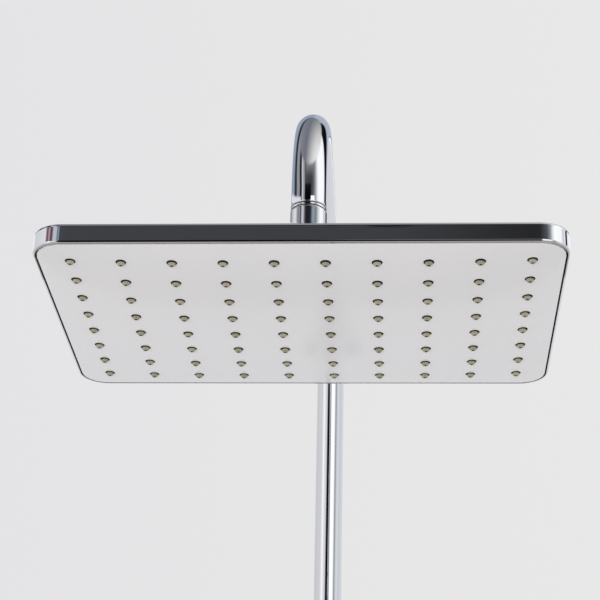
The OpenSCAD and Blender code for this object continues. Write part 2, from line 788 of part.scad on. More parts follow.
// Handles, drawn on the right and mirrored for the left
module handle() difference() {
    union() {
        difference() {
            along_x(handle_low) cylinder(r = handle_r, h = handle_len);
            along_x(handle_low - over) cylinder(r = handle_in_r, h = handle_floor - handle_low - 4 + over);
        }
        along_x(hub_low) cylinder(r = hub_r, h = handle_floor - hub_low);
    }
    along_x(hub_low - over) cylinder(r = spindle_r, h = spindle_top - hub_low + over);
    along_x(spindle_top - over) cylinder(r = screw_r, h = handle_len);
    along_x(handle_floor) cylinder(r = handle_screw_head_r + 1, h = handle_len);
    along_x(cap_low) cylinder(r = handle_in_r, h = handle_len);
}

module handle_screw() {
    along_x(handle_screw_low) cylinder(r = screw_r, h = handle_screw_head_low - handle_screw_low);
    along_x(handle_screw_head_low) cylinder(r = handle_screw_head_r, h = 3);
}

module handle_cap() difference() {
    along_x(cap_low) cylinder(r = handle_in_r, h = cap_t);
    along_x(handle_top - 0.6) cylinder(r = handle_in_r - 3, h = over);
}

module button_cut(extra) translate([button_x, 0, 0])
    cube([button_len + 2 * extra, button_w + 2 * extra, 4 * handle_r], center = true);

module temperature_knob() color(chrome) at_valve() difference() {
    handle();
    intersection() {
        button_cut(clear);
        along_x(handle_low) sleeve(handle_r + over, hub_r, 0, handle_len);
        rod(handle_top, 0, 2 * handle_r);
    }
}

module temperature_knob_screw() color(brass) at_valve() handle_screw();
module temperature_knob_cap() color(chrome) at_valve() handle_cap();
module flow_knob() color(chrome) at_valve() mirror([1, 0, 0]) handle();
module flow_knob_screw() color(brass) at_valve() mirror([1, 0, 0]) handle_screw();
module flow_knob_cap() color(chrome) at_valve() mirror([1, 0, 0]) handle_cap();

// Button with a shoulder at its foot, left and right, that holds it under the handle's wall
module safety_button() color("firebrick") at_valve() translate([button_x, button_w / 2, button_low])
    rotate([90, 0, 0]) linear_extrude(button_w) polygon([
        [-button_len / 2 - shoulder_w, 0], [button_len / 2 + shoulder_w, 0],
        [button_len / 2 + shoulder_w, shoulder_h], [button_len / 2, shoulder_h],
        [button_len / 2, button_top - button_low], [-button_len / 2, button_top - button_low],
        [-button_len / 2, shoulder_h], [-button_len / 2 - shoulder_w, shoulder_h]
    ]);

module button_spring() color(chrome) at_valve() translate([button_x, 0, 0])
    sleeve(spring_r, spring_r - spring_wall, hub_r, button_low);

module stop_ring() color(white) at_valve() difference() {
    along_x(half_body) cylinder(r = stop_ring_r, h = stop_ring_t);
    along_x(half_body - over) cylinder(r = hub_r + clear, h = stop_ring_t + 2 * over);
}

head_shell();
face_plate();
nozzle_mat();
water_plate();
chamber_seal();
chamber_screws();
ball_seal();
ball_cup_liner();
ball_retainer_ring();
socket_nut();
ball_stem();
collar_nut();
filter_washer();
flow_limiter();
arm_insert();
collar_ring();
arm_tube();
arm_connector();
connector_seals();
riser_socket();
glide_ring();
joint_nut();
riser_tube();
bracket_base();
bracket_cover();
bracket_post();
bracket_grub_screw();
riser_end_fitting();
riser_union_washer();
riser_union_nut();
valve_body();
hose_outlet();
hot_wall_union();
cold_wall_union();
hot_union_nut();
cold_union_nut();
inlet_union_washers();
hot_escutcheon();
cold_escutcheon();
inlet_filters();
check_valves();
thermostatic_cartridge();
wax_element();
thermostat_spindle();
thermostat_gland_nut();
diverter_cartridge();
diverter_bush();
diverter_barrel();
diverter_gland_nut();
stop_ring();
temperature_knob();
temperature_knob_screw();
temperature_knob_cap();
safety_button();
button_spring();
flow_knob();
flow_knob_screw();
flow_knob_cap();
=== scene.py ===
"""Shower system: rain head on a swivelling gooseneck arm, riser, wall bracket and bar valve."""
import math

import bmesh
import bpy
from mathutils import Matrix, Vector


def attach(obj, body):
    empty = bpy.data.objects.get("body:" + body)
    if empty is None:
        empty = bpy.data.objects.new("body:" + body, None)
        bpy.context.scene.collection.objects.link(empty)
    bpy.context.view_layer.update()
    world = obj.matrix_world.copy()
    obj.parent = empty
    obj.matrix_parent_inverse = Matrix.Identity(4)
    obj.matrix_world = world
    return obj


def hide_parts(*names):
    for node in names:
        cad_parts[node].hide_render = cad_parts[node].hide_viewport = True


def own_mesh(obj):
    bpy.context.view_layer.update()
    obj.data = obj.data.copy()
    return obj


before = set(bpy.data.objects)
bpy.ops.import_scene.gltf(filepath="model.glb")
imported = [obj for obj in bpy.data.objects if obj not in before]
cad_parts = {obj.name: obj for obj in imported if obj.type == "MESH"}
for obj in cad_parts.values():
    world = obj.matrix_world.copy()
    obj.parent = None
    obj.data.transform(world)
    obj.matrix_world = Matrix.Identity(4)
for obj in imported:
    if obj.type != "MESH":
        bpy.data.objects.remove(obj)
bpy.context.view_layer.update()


# ---- The view ----
# A long lens below and in front of the rain head, looking up, so that the underside shows as a
# shallow trapezium with the arm above it and the riser behind it.
camera = bpy.data.objects.new("view_from_below", bpy.data.cameras.new("view_from_below"))
bpy.context.scene.collection.objects.link(camera)
bpy.context.scene.camera = camera
camera.data.sensor_width = 36
camera.data.lens = 109.05
stand = (0.053931, -1.465099, -0.285474)
yaw, pitch, roll = (math.radians(angle) for angle in (-3.320, 25.520, 1.340))
ahead = Vector((math.sin(yaw) * math.cos(pitch), math.cos(yaw) * math.cos(pitch), math.sin(pitch)))
level = Vector((math.cos(yaw), -math.sin(yaw), 0))
upright = level.cross(ahead)
sideways = level * math.cos(roll) + upright * math.sin(roll)
upward = upright * math.cos(roll) - level * math.sin(roll)
facing = Matrix((sideways, upward, -ahead)).transposed()
camera.matrix_world = Matrix.Translation(stand) @ facing.to_4x4()


# ---- The studio ----
# A pale room with plain soft light. What polished metal mirrors is drawn by direction: pale walls
# with windows and dark beams, a dark doorway behind the camera, and a grey ceiling.
def linear(hex_code):
    """Turns an sRGB colour such as D8DADC into linear red, green, blue and alpha."""
    parts = [int(hex_code[i:i + 2], 16) / 255 for i in (0, 2, 4)]
    return [p / 12.92 if p <= 0.04045 else ((p + 0.055) / 1.055) ** 2.4 for p in parts] + [1]


def add_node(tree, kind, sockets=None, stops=(), **settings):
    """Adds a shader node; a socket is given a number, a colour, a node or a node's output."""
    node = tree.nodes.new("ShaderNode" + kind)
    for key, value in settings.items():
        setattr(node, key, value)
    for key, value in (sockets or {}).items():
        if isinstance(value, bpy.types.Node):
            value = next(output for output in value.outputs if output.enabled)
        if isinstance(value, bpy.types.NodeSocket):
            tree.links.new(value, node.inputs[key])
        else:
            node.inputs[key].default_value = value
    for i, (position, colour) in enumerate(stops):
        stop = node.color_ramp.elements[i] if i < 2 else node.color_ramp.elements.new(1)
        stop.position, stop.color = position, linear(colour)
    return node


bpy.context.scene.view_settings.view_transform = "Standard"
world = bpy.data.worlds.new("pale_room")
bpy.context.scene.world = world
world.use_nodes = True
room = world.node_tree
room.nodes.clear()
# A direction is turned so that its y points to the front, the side that the camera is on.
direction = add_node(room, "VectorMath", {
    0: add_node(room, "TexCoord").outputs["Generated"], 1: (1, -1, 1)},
    operation="MULTIPLY")
axes = add_node(room, "SeparateXYZ", {"Vector": direction})
# Bearings run from the front, positive to the right, and heights from the horizon, in degrees.
bearing = add_node(room, "Math", {0: add_node(
    room, "Math", {0: axes.outputs["X"], 1: axes.outputs["Y"]}, operation="ARCTAN2")},
    operation="DEGREES")
height = add_node(room, "Math", {0: add_node(
    room, "Math", {0: axes.outputs["Z"]}, operation="ARCSINE")}, operation="DEGREES")


def wall(at_bearing, colours):
    """Adds a wall seen all round: its colours by bearing."""
    way_round = add_node(room, "MapRange", {
        "Value": at_bearing, "From Min": -180, "From Max": 180})
    return add_node(room, "ValToRGB", {"Fac": way_round}, stops=[
        (0.5 + degrees / 360, colour) for degrees, colour in colours])


def lay_over(tree, ground, colour, *edges):
    """Lays a colour over a ground inside soft edges: what each goes by, its start and its end."""
    share = None
    for value, start, end in edges:
        edge = add_node(tree, "MapRange", {
            "Value": value, "From Min": start, "From Max": end}, interpolation_type="SMOOTHSTEP")
        share = edge if share is None else add_node(
            tree, "Math", {0: share, 1: edge}, operation="MULTIPLY")
    return add_node(tree, "Mix", {"Factor": share, "A": ground, "B": colour}, data_type="RGBA")


low_wall = wall(bearing, [
    (-180, "CDCED1"), (-150, "CBCBCF"), (-120, "C3C4C6"), (-96, "CBCCCE"), (-74, "CACBCE"),
    (-62, "D9D9DB"), (-54, "F4F5F7"), (-48, "F5F4F7"), (-40, "DFE0E2"), (-30, "CDCFD1"),
    (-25, "CCCFD1"), (-20, "85878C"), (-17, "08090B"), (-3, "060709"), (-1, "6E7072"),
    (7, "8C8E90"), (11, "A6A8AA"), (13, "FFFFFF"), (38, "FEFEFE"), (43, "E4E8E9"), (50, "A4A9AC"),
    (54, "83888B"), (59, "A8AEB0"), (66, "C3CACF"), (74, "D2D7DC"), (86, "CED3D8"),
    (98, "C4C8CC"), (112, "CACED3"), (150, "CFD1D4"), (180, "CDCED1")])
middle_wall = wall(bearing, [
    (-180, "DEDEE0"), (-140, "E2E1E4"), (-125, "C8C8CA"), (-80, "D4D8D8"), (-68, "DCD3D6"),
    (-62, "6F565E"), (-58, "5F404A"), (-53, "B29AA2"), (-50, "A4868F"), (-45, "48343E"),
    (-41, "56474F"), (-35, "B6B9C0"), (-25, "B2BCC1"), (-20, "4E5866"), (-17, "99A3AD"),
    (-15, "465060"), (-12.5, "3E4042"), (0, "3C3D40"), (5, "252525"), (29, "4C5155"),
    (37, "73797E"), (43, "9A9DA1"), (51, "DFE2E2"), (59, "FBFDFD"), (88, "F4F7F9"),
    (99, "BEC0C6"), (110, "EDEEF2"), (113, "141418"), (123, "161619"), (126, "E8E9ED"),
    (160, "E7E9EC"), (180, "DEDEE0")])
high_wall = wall(bearing, [
    (-160, "A0A0A3"), (-138, "78787A"), (-128, "A2A2A5"), (-119, "C6C5C9"),
    (-114, "A0A1A5"), (-109, "CECDD1"), (-88, "DADBE0"), (-80, "BCBCC2"), (-66, "6A6970"),
    (-58, "A6A5AB"), (-54, "6C6C72"), (-50, "36373B"), (-46, "707277"), (-38, "C4C6C9"),
    (-30, "B6B7BC"), (-24, "6A7073"), (-18, "33383A"), (-8, "1A1C21"), (12, "28292F"),
    (18, "393D45"), (26, "82909A"), (38, "8B99A3"), (48, "6C747E"), (58, "A4A7AA"), (74, "E1E5E6"),
    (84, "F7F9FD"), (108, "EEEFF4"), (119, "ACAFB6"), (134, "E8E9F1"), (139, "222327"),
    (156, "1E1F22")])
# Above the windows the left-hand wall leans inwards with its beams.
raised = add_node(room, "Math", {0: height, 1: 0.0135, 2: -28 * 0.0135},
                  operation="MULTIPLY_ADD")
to_left = add_node(room, "MapRange", {"Value": bearing, "From Max": -180, "To Max": 180})
leaning = add_node(room, "Math", {0: raised, 1: to_left, 2: bearing},
                   operation="MULTIPLY_ADD")
top_wall = wall(leaning, [
    (-150, "929CB1"), (-132, "8791A5"), (-118, "9AA5B6"), (-108, "606A7C"),
    (-102, "646874"), (-99, "14161B"), (-89, "24262E"), (-80, "86868C"), (-74, "9A9BA1"),
    (-66, "86878D"), (-60, "808286"), (-57, "0C0D10"), (-48, "0A0B0D"), (-45, "7C7E84"),
    (-40, "D6D9DF"), (-35, "9C9DA3"), (-29, "989A9E"), (-25, "686C70"), (-20, "3C4046"),
    (-14, "424449"), (4, "3C3D41"), (20, "3C4043"), (30, "55585B"), (40, "7C7F82"), (50, "B2B4B7"),
    (60, "E4E6E9"), (70, "FCFCFC"), (104, "F8F9FB"), (122, "E9EBEF"), (127, "0E0F11"),
    (152, "0C0D0F"), (157, "A4ABBA")])
across_ceiling = add_node(room, "VectorMath", {0: direction, 1: (0.9, 0.35, 0)},
                          operation="DOT_PRODUCT")
ceiling = add_node(room, "ValToRGB", {"Fac": add_node(
    room, "Math", {0: across_ceiling, 1: 0.5}, operation="ADD")}, stops=[
        (0, "7A8086"), (0.2, "727580"), (0.34, "6C707C"), (0.5, "8C8C90"), (0.66, "A8A8A9"),
        (0.8, "C0C1BF"), (0.95, "D4D6D4"), (1, "E0E0E0")])
up_to_ceiling = add_node(room, "VectorMath", {0: direction, 1: (0, 0.06, 1)},
                         operation="DOT_PRODUCT")
sill = add_node(room, "MapRange", {
    "Value": bearing, "From Min": -44, "From Max": -47, "To Min": 23, "To Max": 25.2},
    interpolation_type="SMOOTHSTEP")
above_sill = add_node(room, "Math", {0: height, 1: sill}, operation="SUBTRACT")

mirrored_colour = low_wall
for colour, *edges in (
        # The doorway behind the camera, and the walls that stand above one another.
        (linear("0C0D0F"), (bearing, -16, -12), (bearing, 12, 8), (height, -40, -36),
         (height, 15, 12)),
        (middle_wall, (above_sill, 0, 1.3)),
        (high_wall, (height, 27.92, 27.97)),
        (top_wall, (height, 28.55, 28.65)),
        # A lintel over the doorway, a recess under it, a small lamp and a pale strip.
        (linear("9C9D9E"), (bearing, -30, -20), (bearing, 40, 28), (height, 34, 62)),
        (linear("08090A"), (bearing, -27, -22), (bearing, 17, 13), (height, 28.5, 28.6),
         (height, 33, 29)),
        (linear("FFFFFF"), (bearing, 14, 17), (bearing, 42, 39), (height, 28.57, 28.6),
         (height, 29.04, 28.97)),
        (linear("DADCE1"), (bearing, -150, -142), (bearing, -48, -54), (height, 28.57, 28.6),
         (height, 29.0, 28.78)),
        (ceiling, (up_to_ceiling, 0.775, 0.835))):
    mirrored_colour = lay_over(room, mirrored_colour, colour, *edges)
seen_colour = lay_over(room, linear("E4E4E6"), linear("E8E8E8"), (axes.outputs["X"], -0.3, 0.2))
rays = add_node(room, "LightPath")
straight = add_node(room, "Math", {
    0: rays.outputs["Is Camera Ray"], 1: rays.outputs["Is Transmission Ray"]}, operation="MAXIMUM")
light = add_node(room, "Background", {"Color": linear("FFFFFF"), "Strength": 0.93})
mirrored = add_node(room, "Background", {"Color": mirrored_colour, "Strength": 1.26})
seen = add_node(room, "Background", {"Color": seen_colour})
lit = add_node(room, "MixShader", {0: rays.outputs["Is Glossy Ray"], 1: light, 2: mirrored})
whole = add_node(room, "MixShader", {0: straight, 1: lit, 2: seen})
add_node(room, "OutputWorld", {"Surface": whole})

lamp = bpy.data.objects.new("soft_box", bpy.data.lights.new("soft_box", "AREA"))
lamp.data.shape, lamp.data.size, lamp.data.size_y = "RECTANGLE", 1.6, 1.2
lamp.data.energy = 22
lamp.visible_glossy = False
lamp.location = (-0.7, -3.2, -0.8)
lamp.rotation_euler = (Vector((0, -0.3, 0)) - lamp.location).to_track_quat("-Z", "Y").to_euler()
bpy.context.scene.collection.objects.link(lamp)


def new_material(name):
    """Starts a node material: gives it back with its tree and the place on its object."""
    material = bpy.data.materials.new(name)
    material.use_nodes = True
    material.node_tree.nodes.clear()
    place = add_node(material.node_tree, "TexCoord").outputs["Object"]
    return material, material.node_tree, place


floor_paint, tree, place = new_material("pale_floor_paint")
spot = add_node(tree, "SeparateXYZ", {"Vector": place})
aside = add_node(tree, "Math", {0: spot.outputs["X"]}, operation="ABSOLUTE")
# Seen in the metal the floor is darker, and black at the front where the doorway's dark reaches
# down: a painted reflection.
floor_painted_reflection = lay_over(tree, linear("B0ABA6"), linear("0C0D0F"), (aside, 1.1, 0.9),
                          (spot.outputs["Y"], -2.3, -2.5))
in_metal = add_node(tree, "LightPath").outputs["Is Glossy Ray"]
paint = add_node(tree, "Mix", {
    "Factor": in_metal, "A": linear("E2E2E4"), "B": floor_painted_reflection}, data_type="RGBA")
matt = add_node(tree, "BsdfDiffuse", {"Color": paint})
open_below = add_node(tree, "BsdfTransparent")
from_below = add_node(tree, "NewGeometry").outputs["Backfacing"]
one_sided = add_node(tree, "MixShader", {0: from_below, 1: matt, 2: open_below})
add_node(tree, "OutputMaterial", {"Surface": one_sided})
floor_x, floor_front, floor_back, floor_z = 4, -4.4, 3.6, -1.85
floor_mesh = bpy.data.meshes.new("studio_floor")
floor_mesh.from_pydata([
    (-floor_x, floor_front, floor_z), (floor_x, floor_front, floor_z),
    (floor_x, floor_back, floor_z), (-floor_x, floor_back, floor_z)], [], [(0, 1, 2, 3)])
floor_mesh.materials.append(floor_paint)
studio_floor = bpy.data.objects.new("studio_floor", floor_mesh)
bpy.context.scene.collection.objects.link(studio_floor)


# ---- Cover of the rain head ----
# One ABS moulding, chromed all over: a vertical rim with softly rounded edges that runs into a
# shallow cushion-shaped dome, with a round seat in the middle for the ball joint's nut.
head_y, face_z = -465, 180
head_at = Matrix.Translation((0, head_y, face_z))
head_w, head_d, head_corner_r = 305, 203, 18
rim_h, rim_wall, rim_ease, top_ease = 12.5, 1.3, 1.4, 1.8
dome_inset, dome_rise, cover_wall = 2.1, 10.5, 2.5
seat_r, seat_z, cover_hole_r = 21, 23.5, 15.9


def skin(name, bodies, hoop=False, sharp=40):
    """Makes a mesh piece from bodies of rings, in mm; hoop joins the last ring to the first."""
    points, faces = [], []
    for rings in bodies:
        starts = []
        for ring in rings:
            starts.append(len(points))
            points += [[c / 1000 for c in p] for p in ring]
        pairs = list(zip(range(len(rings) - 1), range(1, len(rings))))
        for a, b in pairs + ([(len(rings) - 1, 0)] if hoop else []):
            size_a, size_b = len(rings[a]), len(rings[b])
            for i in range(max(size_a, size_b)):
                corners = [starts[a] + i % size_a, starts[a] + (i + 1) % size_a,
                           starts[b] + (i + 1) % size_b, starts[b] + i % size_b]
                faces.append(list(dict.fromkeys(corners)))
    return meshed(name, points, faces, sharp)


def meshed(name, points, faces, sharp=40):
    """Makes a piece from points in metres, smooth but for edges sharper than an angle."""
    mesh = bpy.data.meshes.new(name)
    mesh.from_pydata(points, [], faces)
    work = bmesh.new()
    work.from_mesh(mesh)
    bmesh.ops.recalc_face_normals(work, faces=work.faces)
    work.to_mesh(mesh)
    work.free()
    mesh.shade_smooth()
    mesh.set_sharp_from_angle(angle=math.radians(sharp))
    piece = bpy.data.objects.new(name, mesh)
    bpy.context.scene.collection.objects.link(piece)
    even = piece.modifiers.new("flats_stay_flat", "WEIGHTED_NORMAL")
    even.keep_sharp = True
    even.weight = 90
    return piece


def fix(piece, body, slot, finish, *nodes):
    """Gives a piece its finish and fixes it to the body that carries it, in place of CAD nodes."""
    piece.data.materials.append(finish)
    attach(piece, body)
    if nodes:
        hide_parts(*nodes)


def eased(corners, loop, steps=5):
    """Rounds a profile: each corner has two coordinates and a radius."""
    profile = []
    for i, (a, b, radius) in enumerate(corners):
        corner = Vector((a, b))
        if radius == 0 or (not loop and i in (0, len(corners) - 1)):
            profile.append((a, b))
            continue
        back = (Vector(corners[i - 1][:2]) - corner).normalized()
        on = (Vector(corners[(i + 1) % len(corners)][:2]) - corner).normalized()
        half = back.angle(on) / 2
        centre = corner + (back + on).normalized() * radius / math.sin(half)
        start = corner + back * radius / math.tan(half) - centre
        end = corner + on * radius / math.tan(half) - centre
        sweep = math.pi - 2 * half
        for k in range(steps + 1):
            share = k / steps
            spoke = start * math.sin((1 - share) * sweep) + end * math.sin(share * sweep)
            profile.append(tuple(centre + spoke / math.sin(sweep)))
    return profile


def held(profile, loop):
    """Adds points close to both ends of flats over 1.5 mm, so that they reflect as flats."""
    points = []
    for at, here in enumerate(profile):
        points.append(here)
        if at + 1 == len(profile) and not loop:
            break
        here, there = Vector(here), Vector(profile[(at + 1) % len(profile)])
        span = (there - here).length
        if span > 1.5:
            points += [tuple(here.lerp(there, 0.25 / span)), tuple(there.lerp(here, 0.25 / span))]
    return points


def head_loop(inset, z, corner_steps=12, long_steps=28, short_steps=20):
    """Points round the head's rounded outline, set in from its edge."""
    radius = max(head_corner_r - inset, 3)
    centre_x, centre_y = head_w / 2 - inset - radius, head_d / 2 - inset - radius
    loop = []
    for quarter, (sx, sy) in enumerate(((1, 1), (-1, 1), (-1, -1), (1, -1))):
        arc = [math.radians(90 * (quarter + k / corner_steps)) for k in range(corner_steps + 1)]
        loop += [(sx * centre_x + radius * math.cos(a), sy * centre_y + radius * math.sin(a), z)
                 for a in arc]
        last = Vector(loop[-1])
        nx, ny = ((-1, 1), (-1, -1), (1, -1), (1, 1))[quarter]
        start = Vector((nx * centre_x + radius * math.cos(arc[-1]),
                        ny * centre_y + radius * math.sin(arc[-1]), z))
        count = long_steps if quarter in (0, 2) else short_steps
        loop += [tuple(last.lerp(start, k / count)) for k in range(1, count)]
    return loop


def dome_z(x, y):
    """Height of the cushion-shaped dome above the face's edge."""
    a = max(1 - (x / (head_w / 2 - dome_inset)) ** 2, 1e-6)
    b = max(1 - (y / (head_d / 2 - dome_inset)) ** 2, 1e-6)
    return rim_h + dome_rise / (1 + ((1 / a - 1) ** 3 + (1 / b - 1) ** 3) ** (1 / 3))


def dome_rings(inset, drop, circle_r, count):
    """Rings from the head's outline in to a circle, on the dome or a given distance below it."""
    outer = head_loop(inset, 0)
    rings = []
    for k in range(count + 1):
        share = k / count
        ring = []
        for x, y, _ in outer:
            spoke = Vector((x, y)).normalized() * circle_r
            px, py = x + (spoke.x - x) * share, y + (spoke.y - y) * share
            ring.append((px, py, dome_z(px, py) - drop))
        rings.append(ring)
    return rings


def circle_ring(radius, z):
    """A ring of points on a circle, at the same bearings as the head's outline."""
    return [tuple(Vector((x, y)).normalized() * radius) + (z,)
            for x, y, _ in head_loop(dome_inset, 0)]


rim_profile = held(eased([
    (rim_wall, 0, 0.3), (0, 0, rim_ease), (0, rim_h, top_ease),
    (dome_inset + 1, rim_h + 0.15, 0)], loop=False, steps=8), loop=False)
cover_rings = [head_loop(rim_wall, rim_h - cover_wall - 1.5), head_loop(rim_wall, 0.4),
               head_loop(rim_wall - 0.12, 0.12)]
cover_rings += [head_loop(inset, z) for inset, z in [(rim_wall - 0.4, 0)] + rim_profile[1:-1]]
cover_rings += dome_rings(dome_inset + 1, 0, seat_r + 0.6, 30)
cover_rings += [circle_ring(seat_r + 0.1, seat_z - 0.35), circle_ring(seat_r, seat_z - 0.12),
                circle_ring(seat_r - 0.15, seat_z), circle_ring(cover_hole_r, seat_z),
                circle_ring(cover_hole_r, seat_z - cover_wall - 0.5)]
cover_rings += reversed(dome_rings(rim_wall + 6, cover_wall, cover_hole_r + 4, 8))
cover = skin("rain_head_cover", [[[head_at @ Vector(p) for p in ring] for ring in cover_rings]],
             hoop=True, sharp=60)

# Chromed ABS: a plated moulding, mirror-bright and slightly blue; the plating follows the faint
# waves of the moulded plastic, drawn 30 mm long, and wiping leaves softer and clearer patches.
chromed_abs, tree, place = new_material("chromed_abs")
waves = add_node(tree, "TexNoise", {"Vector": place, "Scale": 1000 / 30, "Detail": 1})
wiped = add_node(tree, "TexNoise", {"Vector": place, "Scale": 1000 / 14, "Detail": 4})
softness = add_node(tree, "MapRange", {
    "Value": wiped, "From Min": 0.3, "From Max": 0.7, "To Min": 0.008, "To Max": 0.026})
relief = add_node(tree, "Bump", {"Height": waves, "Strength": 1, "Distance": 0.00004})
shader = add_node(tree, "BsdfPrincipled", {
    "Base Color": linear("E6E6E8"), "Metallic": 1, "Roughness": softness, "Normal": relief})
add_node(tree, "OutputMaterial", {"Surface": shader})
fix(cover, "head", "chromed_abs", chromed_abs, "head_shell")


# ---- Face plate ----
# A glossy white ABS moulding, crowned downwards, let into the rim with a thin shadow gap all
# round. It is drilled through for the eighty nozzles, each hole with a softly rounded edge.
plate_half_w, plate_half_d = 150.4, 99.4
plate_wall, crown_depth = 2.5, 5
grid_w, grid_d = 262.8, 161
nozzle_xs = [(i / 9 - 0.5) * grid_w for i in range(10)]
nozzle_ys = [(j / 7 - 0.5) * grid_d for j in range(8)]
nozzle_hole_r = 3.05


def crown_z(x, y):
    """Height of the crowned face below its edge."""
    u, v = min(abs(x) / plate_half_w, 1), min(abs(y) / plate_half_d, 1)
    return -crown_depth * (1 - u ** 3.4) * (1 - v ** 3.4)


def drilled_sheet(name, inset, block, hole_r, ease, low, high):
    """A crowned sheet with a hole at every nozzle: a block of cells, then a border to its edge."""
    points, faces, known = [], [], {}

    def point(x, y, lift):
        key = (round(x, 4), round(y, 4), round(lift, 4))
        if key not in known:
            known[key] = len(points)
            spot = head_at @ Vector((x, y, crown_z(x, y) + lift))
            points.append([c / 1000 for c in spot])
        return known[key]

    def bridge(loops):
        for a, b in zip(loops, loops[1:]):
            for i in range(len(a)):
                j = (i + 1) % len(a)
                faces.append((a[i], a[j], b[j], b[i]))

    edges = []
    for spots, limit in ((nozzle_xs, block[0]), (nozzle_ys, block[1])):
        edges.append([-limit] + [(a + b) / 2 for a, b in zip(spots, spots[1:])] + [limit])
    corners = {}
    for i, cx in enumerate(nozzle_xs):
        for j, cy in enumerate(nozzle_ys):
            rim, hole = [], []
            for k in range(24):
                c, s = math.cos(math.radians(45 + 15 * k)), math.sin(math.radians(45 + 15 * k))
                reach = 1 / max(abs(c), abs(s))
                wide = edges[0][i + 1] - cx if c > 0 else cx - edges[0][i]
                deep = edges[1][j + 1] - cy if s > 0 else cy - edges[1][j]
                rim.append((cx + c * reach * wide, cy + s * reach * deep))
                hole.append((cx, cy, c, s))
            corners[i, j] = rim
            loops = []
            for lift, side in ((low, 1), (high, -1)):
                level = [[point(x, y, lift) for x, y in rim],
                         [point(x * 0.5 + (cx + c * (hole_r + 1)) * 0.5,
                                y * 0.5 + (cy + s * (hole_r + 1)) * 0.5, lift)
                          for (x, y), (cx, cy, c, s) in zip(rim, hole)]]
                level += [[point(cx + c * r, cy + s * r, lift + side * up)
                           for cx, cy, c, s in hole]
                          for r, up in ((hole_r + ease + 0.15, 0), (hole_r + ease, 0),
                                        (hole_r + ease * 0.3, ease * 0.3), (hole_r, ease))]
                loops += level if side == 1 else reversed(level)
            bridge(loops)
    last_i, last_j = len(nozzle_xs) - 1, len(nozzle_ys) - 1
    border = []  # round the block of cells, a quarter of each outer cell's 24 points at a time
    for i in range(last_i, -1, -1):
        border += corners[i, last_j][0:6]
    for j in range(last_j, -1, -1):
        border += corners[0, j][6:12]
    for i in range(last_i + 1):
        border += corners[i, 0][12:18]
    for j in range(last_j + 1):
        border += corners[last_i, j][18:24]
    radius = head_corner_r - inset
    centre_x, centre_y = head_w / 2 - head_corner_r, head_d / 2 - head_corner_r
    outline = []
    for x, y in border:
        dx, dy = max(abs(x) - centre_x, 0), max(abs(y) - centre_y, 0)
        away = Vector((dx, dy)).normalized()
        edge = Vector((min(abs(x), centre_x), min(abs(y), centre_y))) + away * radius
        outline.append((math.copysign(edge.x, x), math.copysign(edge.y, y),
                        math.copysign(away.x, x), math.copysign(away.y, y)))
    loops = []
    for lift, side in ((low, 1), (high, -1)):
        level = [[point(x, y, lift) for x, y in border]]
        for share in (0.35, 0.7):
            level.append([point(x + (ex - x) * share, y + (ey - y) * share, lift)
                          for (x, y), (ex, ey, _, _) in zip(border, outline)])
        for back, up in ((ease + 0.1, 0), (ease, 0), (ease * 0.3, ease * 0.3), (0, ease)):
            level.append([point(ex - ax * back, ey - ay * back, lift + side * up)
                          for ex, ey, ax, ay in outline])
        loops += level if side == 1 else reversed(level)
    bridge(loops)
    return meshed(name, points, faces)


face = drilled_sheet("face_plate_white", 2.4, (146, 92), nozzle_hole_r, 0.25, 0, plate_wall)


def moulded(name, colours, grain_mm, detail, relief, roughness, ior):
    """A moulded material; its grain mixes its colours and stands out by a strength and depth."""
    material, tree, place = new_material(name)
    grain = add_node(tree, "TexNoise", {"Vector": place, "Scale": 1000 / grain_mm,
                                        "Detail": detail})
    sockets = {"Base Color": linear(colours[0]), "Roughness": roughness, "IOR": ior}
    if len(colours) == 2:
        sockets["Base Color"] = add_node(tree, "Mix", {
            "Factor": grain, "A": linear(colours[0]), "B": linear(colours[1])}, data_type="RGBA")
    if relief:
        sockets["Normal"] = add_node(tree, "Bump", {
            "Height": grain, "Strength": relief[0], "Distance": relief[1]})
    shader = add_node(tree, "BsdfPrincipled", sockets)
    add_node(tree, "OutputMaterial", {"Surface": shader})
    return material


# White ABS, injection-moulded in a polished tool: bright and glossy, with a faint waviness of the
# surface, drawn 45 mm long, and very slightly warmer and cooler patches.
white_abs = moulded("white_abs_gloss", ("E6E3E2", "E2E2E3"), 45, 2, (1, 0.00008), 0.12, 1.53)
fix(face, "head", "white_abs", white_abs, "face_plate")


# ---- Nozzles ----
# Soft silicone nozzles in one mat behind the face plate. Each stands in a black rubber sleeve in
# its hole, tapers to a rounded tip, and has an outlet of a millimetre and a half. The black
# sleeve is painted shade in the gap round the nozzle, and a black liner in each outlet is painted
# shade in its bore.
mat_low, mat_wall = plate_wall, 1.2


def turn(corners, place=Matrix(), loop=True, steps=96):
    """Rings of a turned piece: a profile of radius, height and rounding, turned about +Z."""
    rings = []
    for radius, height in held(eased(corners, loop), loop):
        count = steps if radius > 1e-4 else 1
        rings.append([place @ Vector((radius * math.cos(math.tau * k / steps),
                                      radius * math.sin(math.tau * k / steps), height))
                      for k in range(count)])
    return rings


mat = drilled_sheet("nozzle_mat_sheet", 7.6, (141, 89), 1.3, 0.1, mat_low, mat_low + mat_wall)
nozzle_profile = [(1.75, mat_low, 0), (1.55, 0.1, 0.1), (1.55, -0.25, 0.05), (2.3, -0.35, 0.12),
                  (2.2, -0.95, 0.55), (1.6, -1.95, 0.45), (0.82, -1.95, 0.05), (0.82, -0.2, 0),
                  (1.2, 0.6, 0.1), (1.2, mat_low, 0)]
shade_sleeve_profile = [(1.8, 2.3, 0), (1.6, 0.1, 0), (1.6, -0.28, 0.05), (2.1, -0.28, 0.1),
                  (2.3, 0.0, 0.1), (3.02, 0.0, 0.05), (3.02, 2.3, 0)]
outlet_shade_profile = [(0.8, -1.91, 0), (0.8, -0.25, 0), (0.5, -0.25, 0), (0.5, -1.91, 0)]
nozzle_spots = [head_at @ Matrix.Translation((x, y, crown_z(x, y)))
                for x in nozzle_xs for y in nozzle_ys]
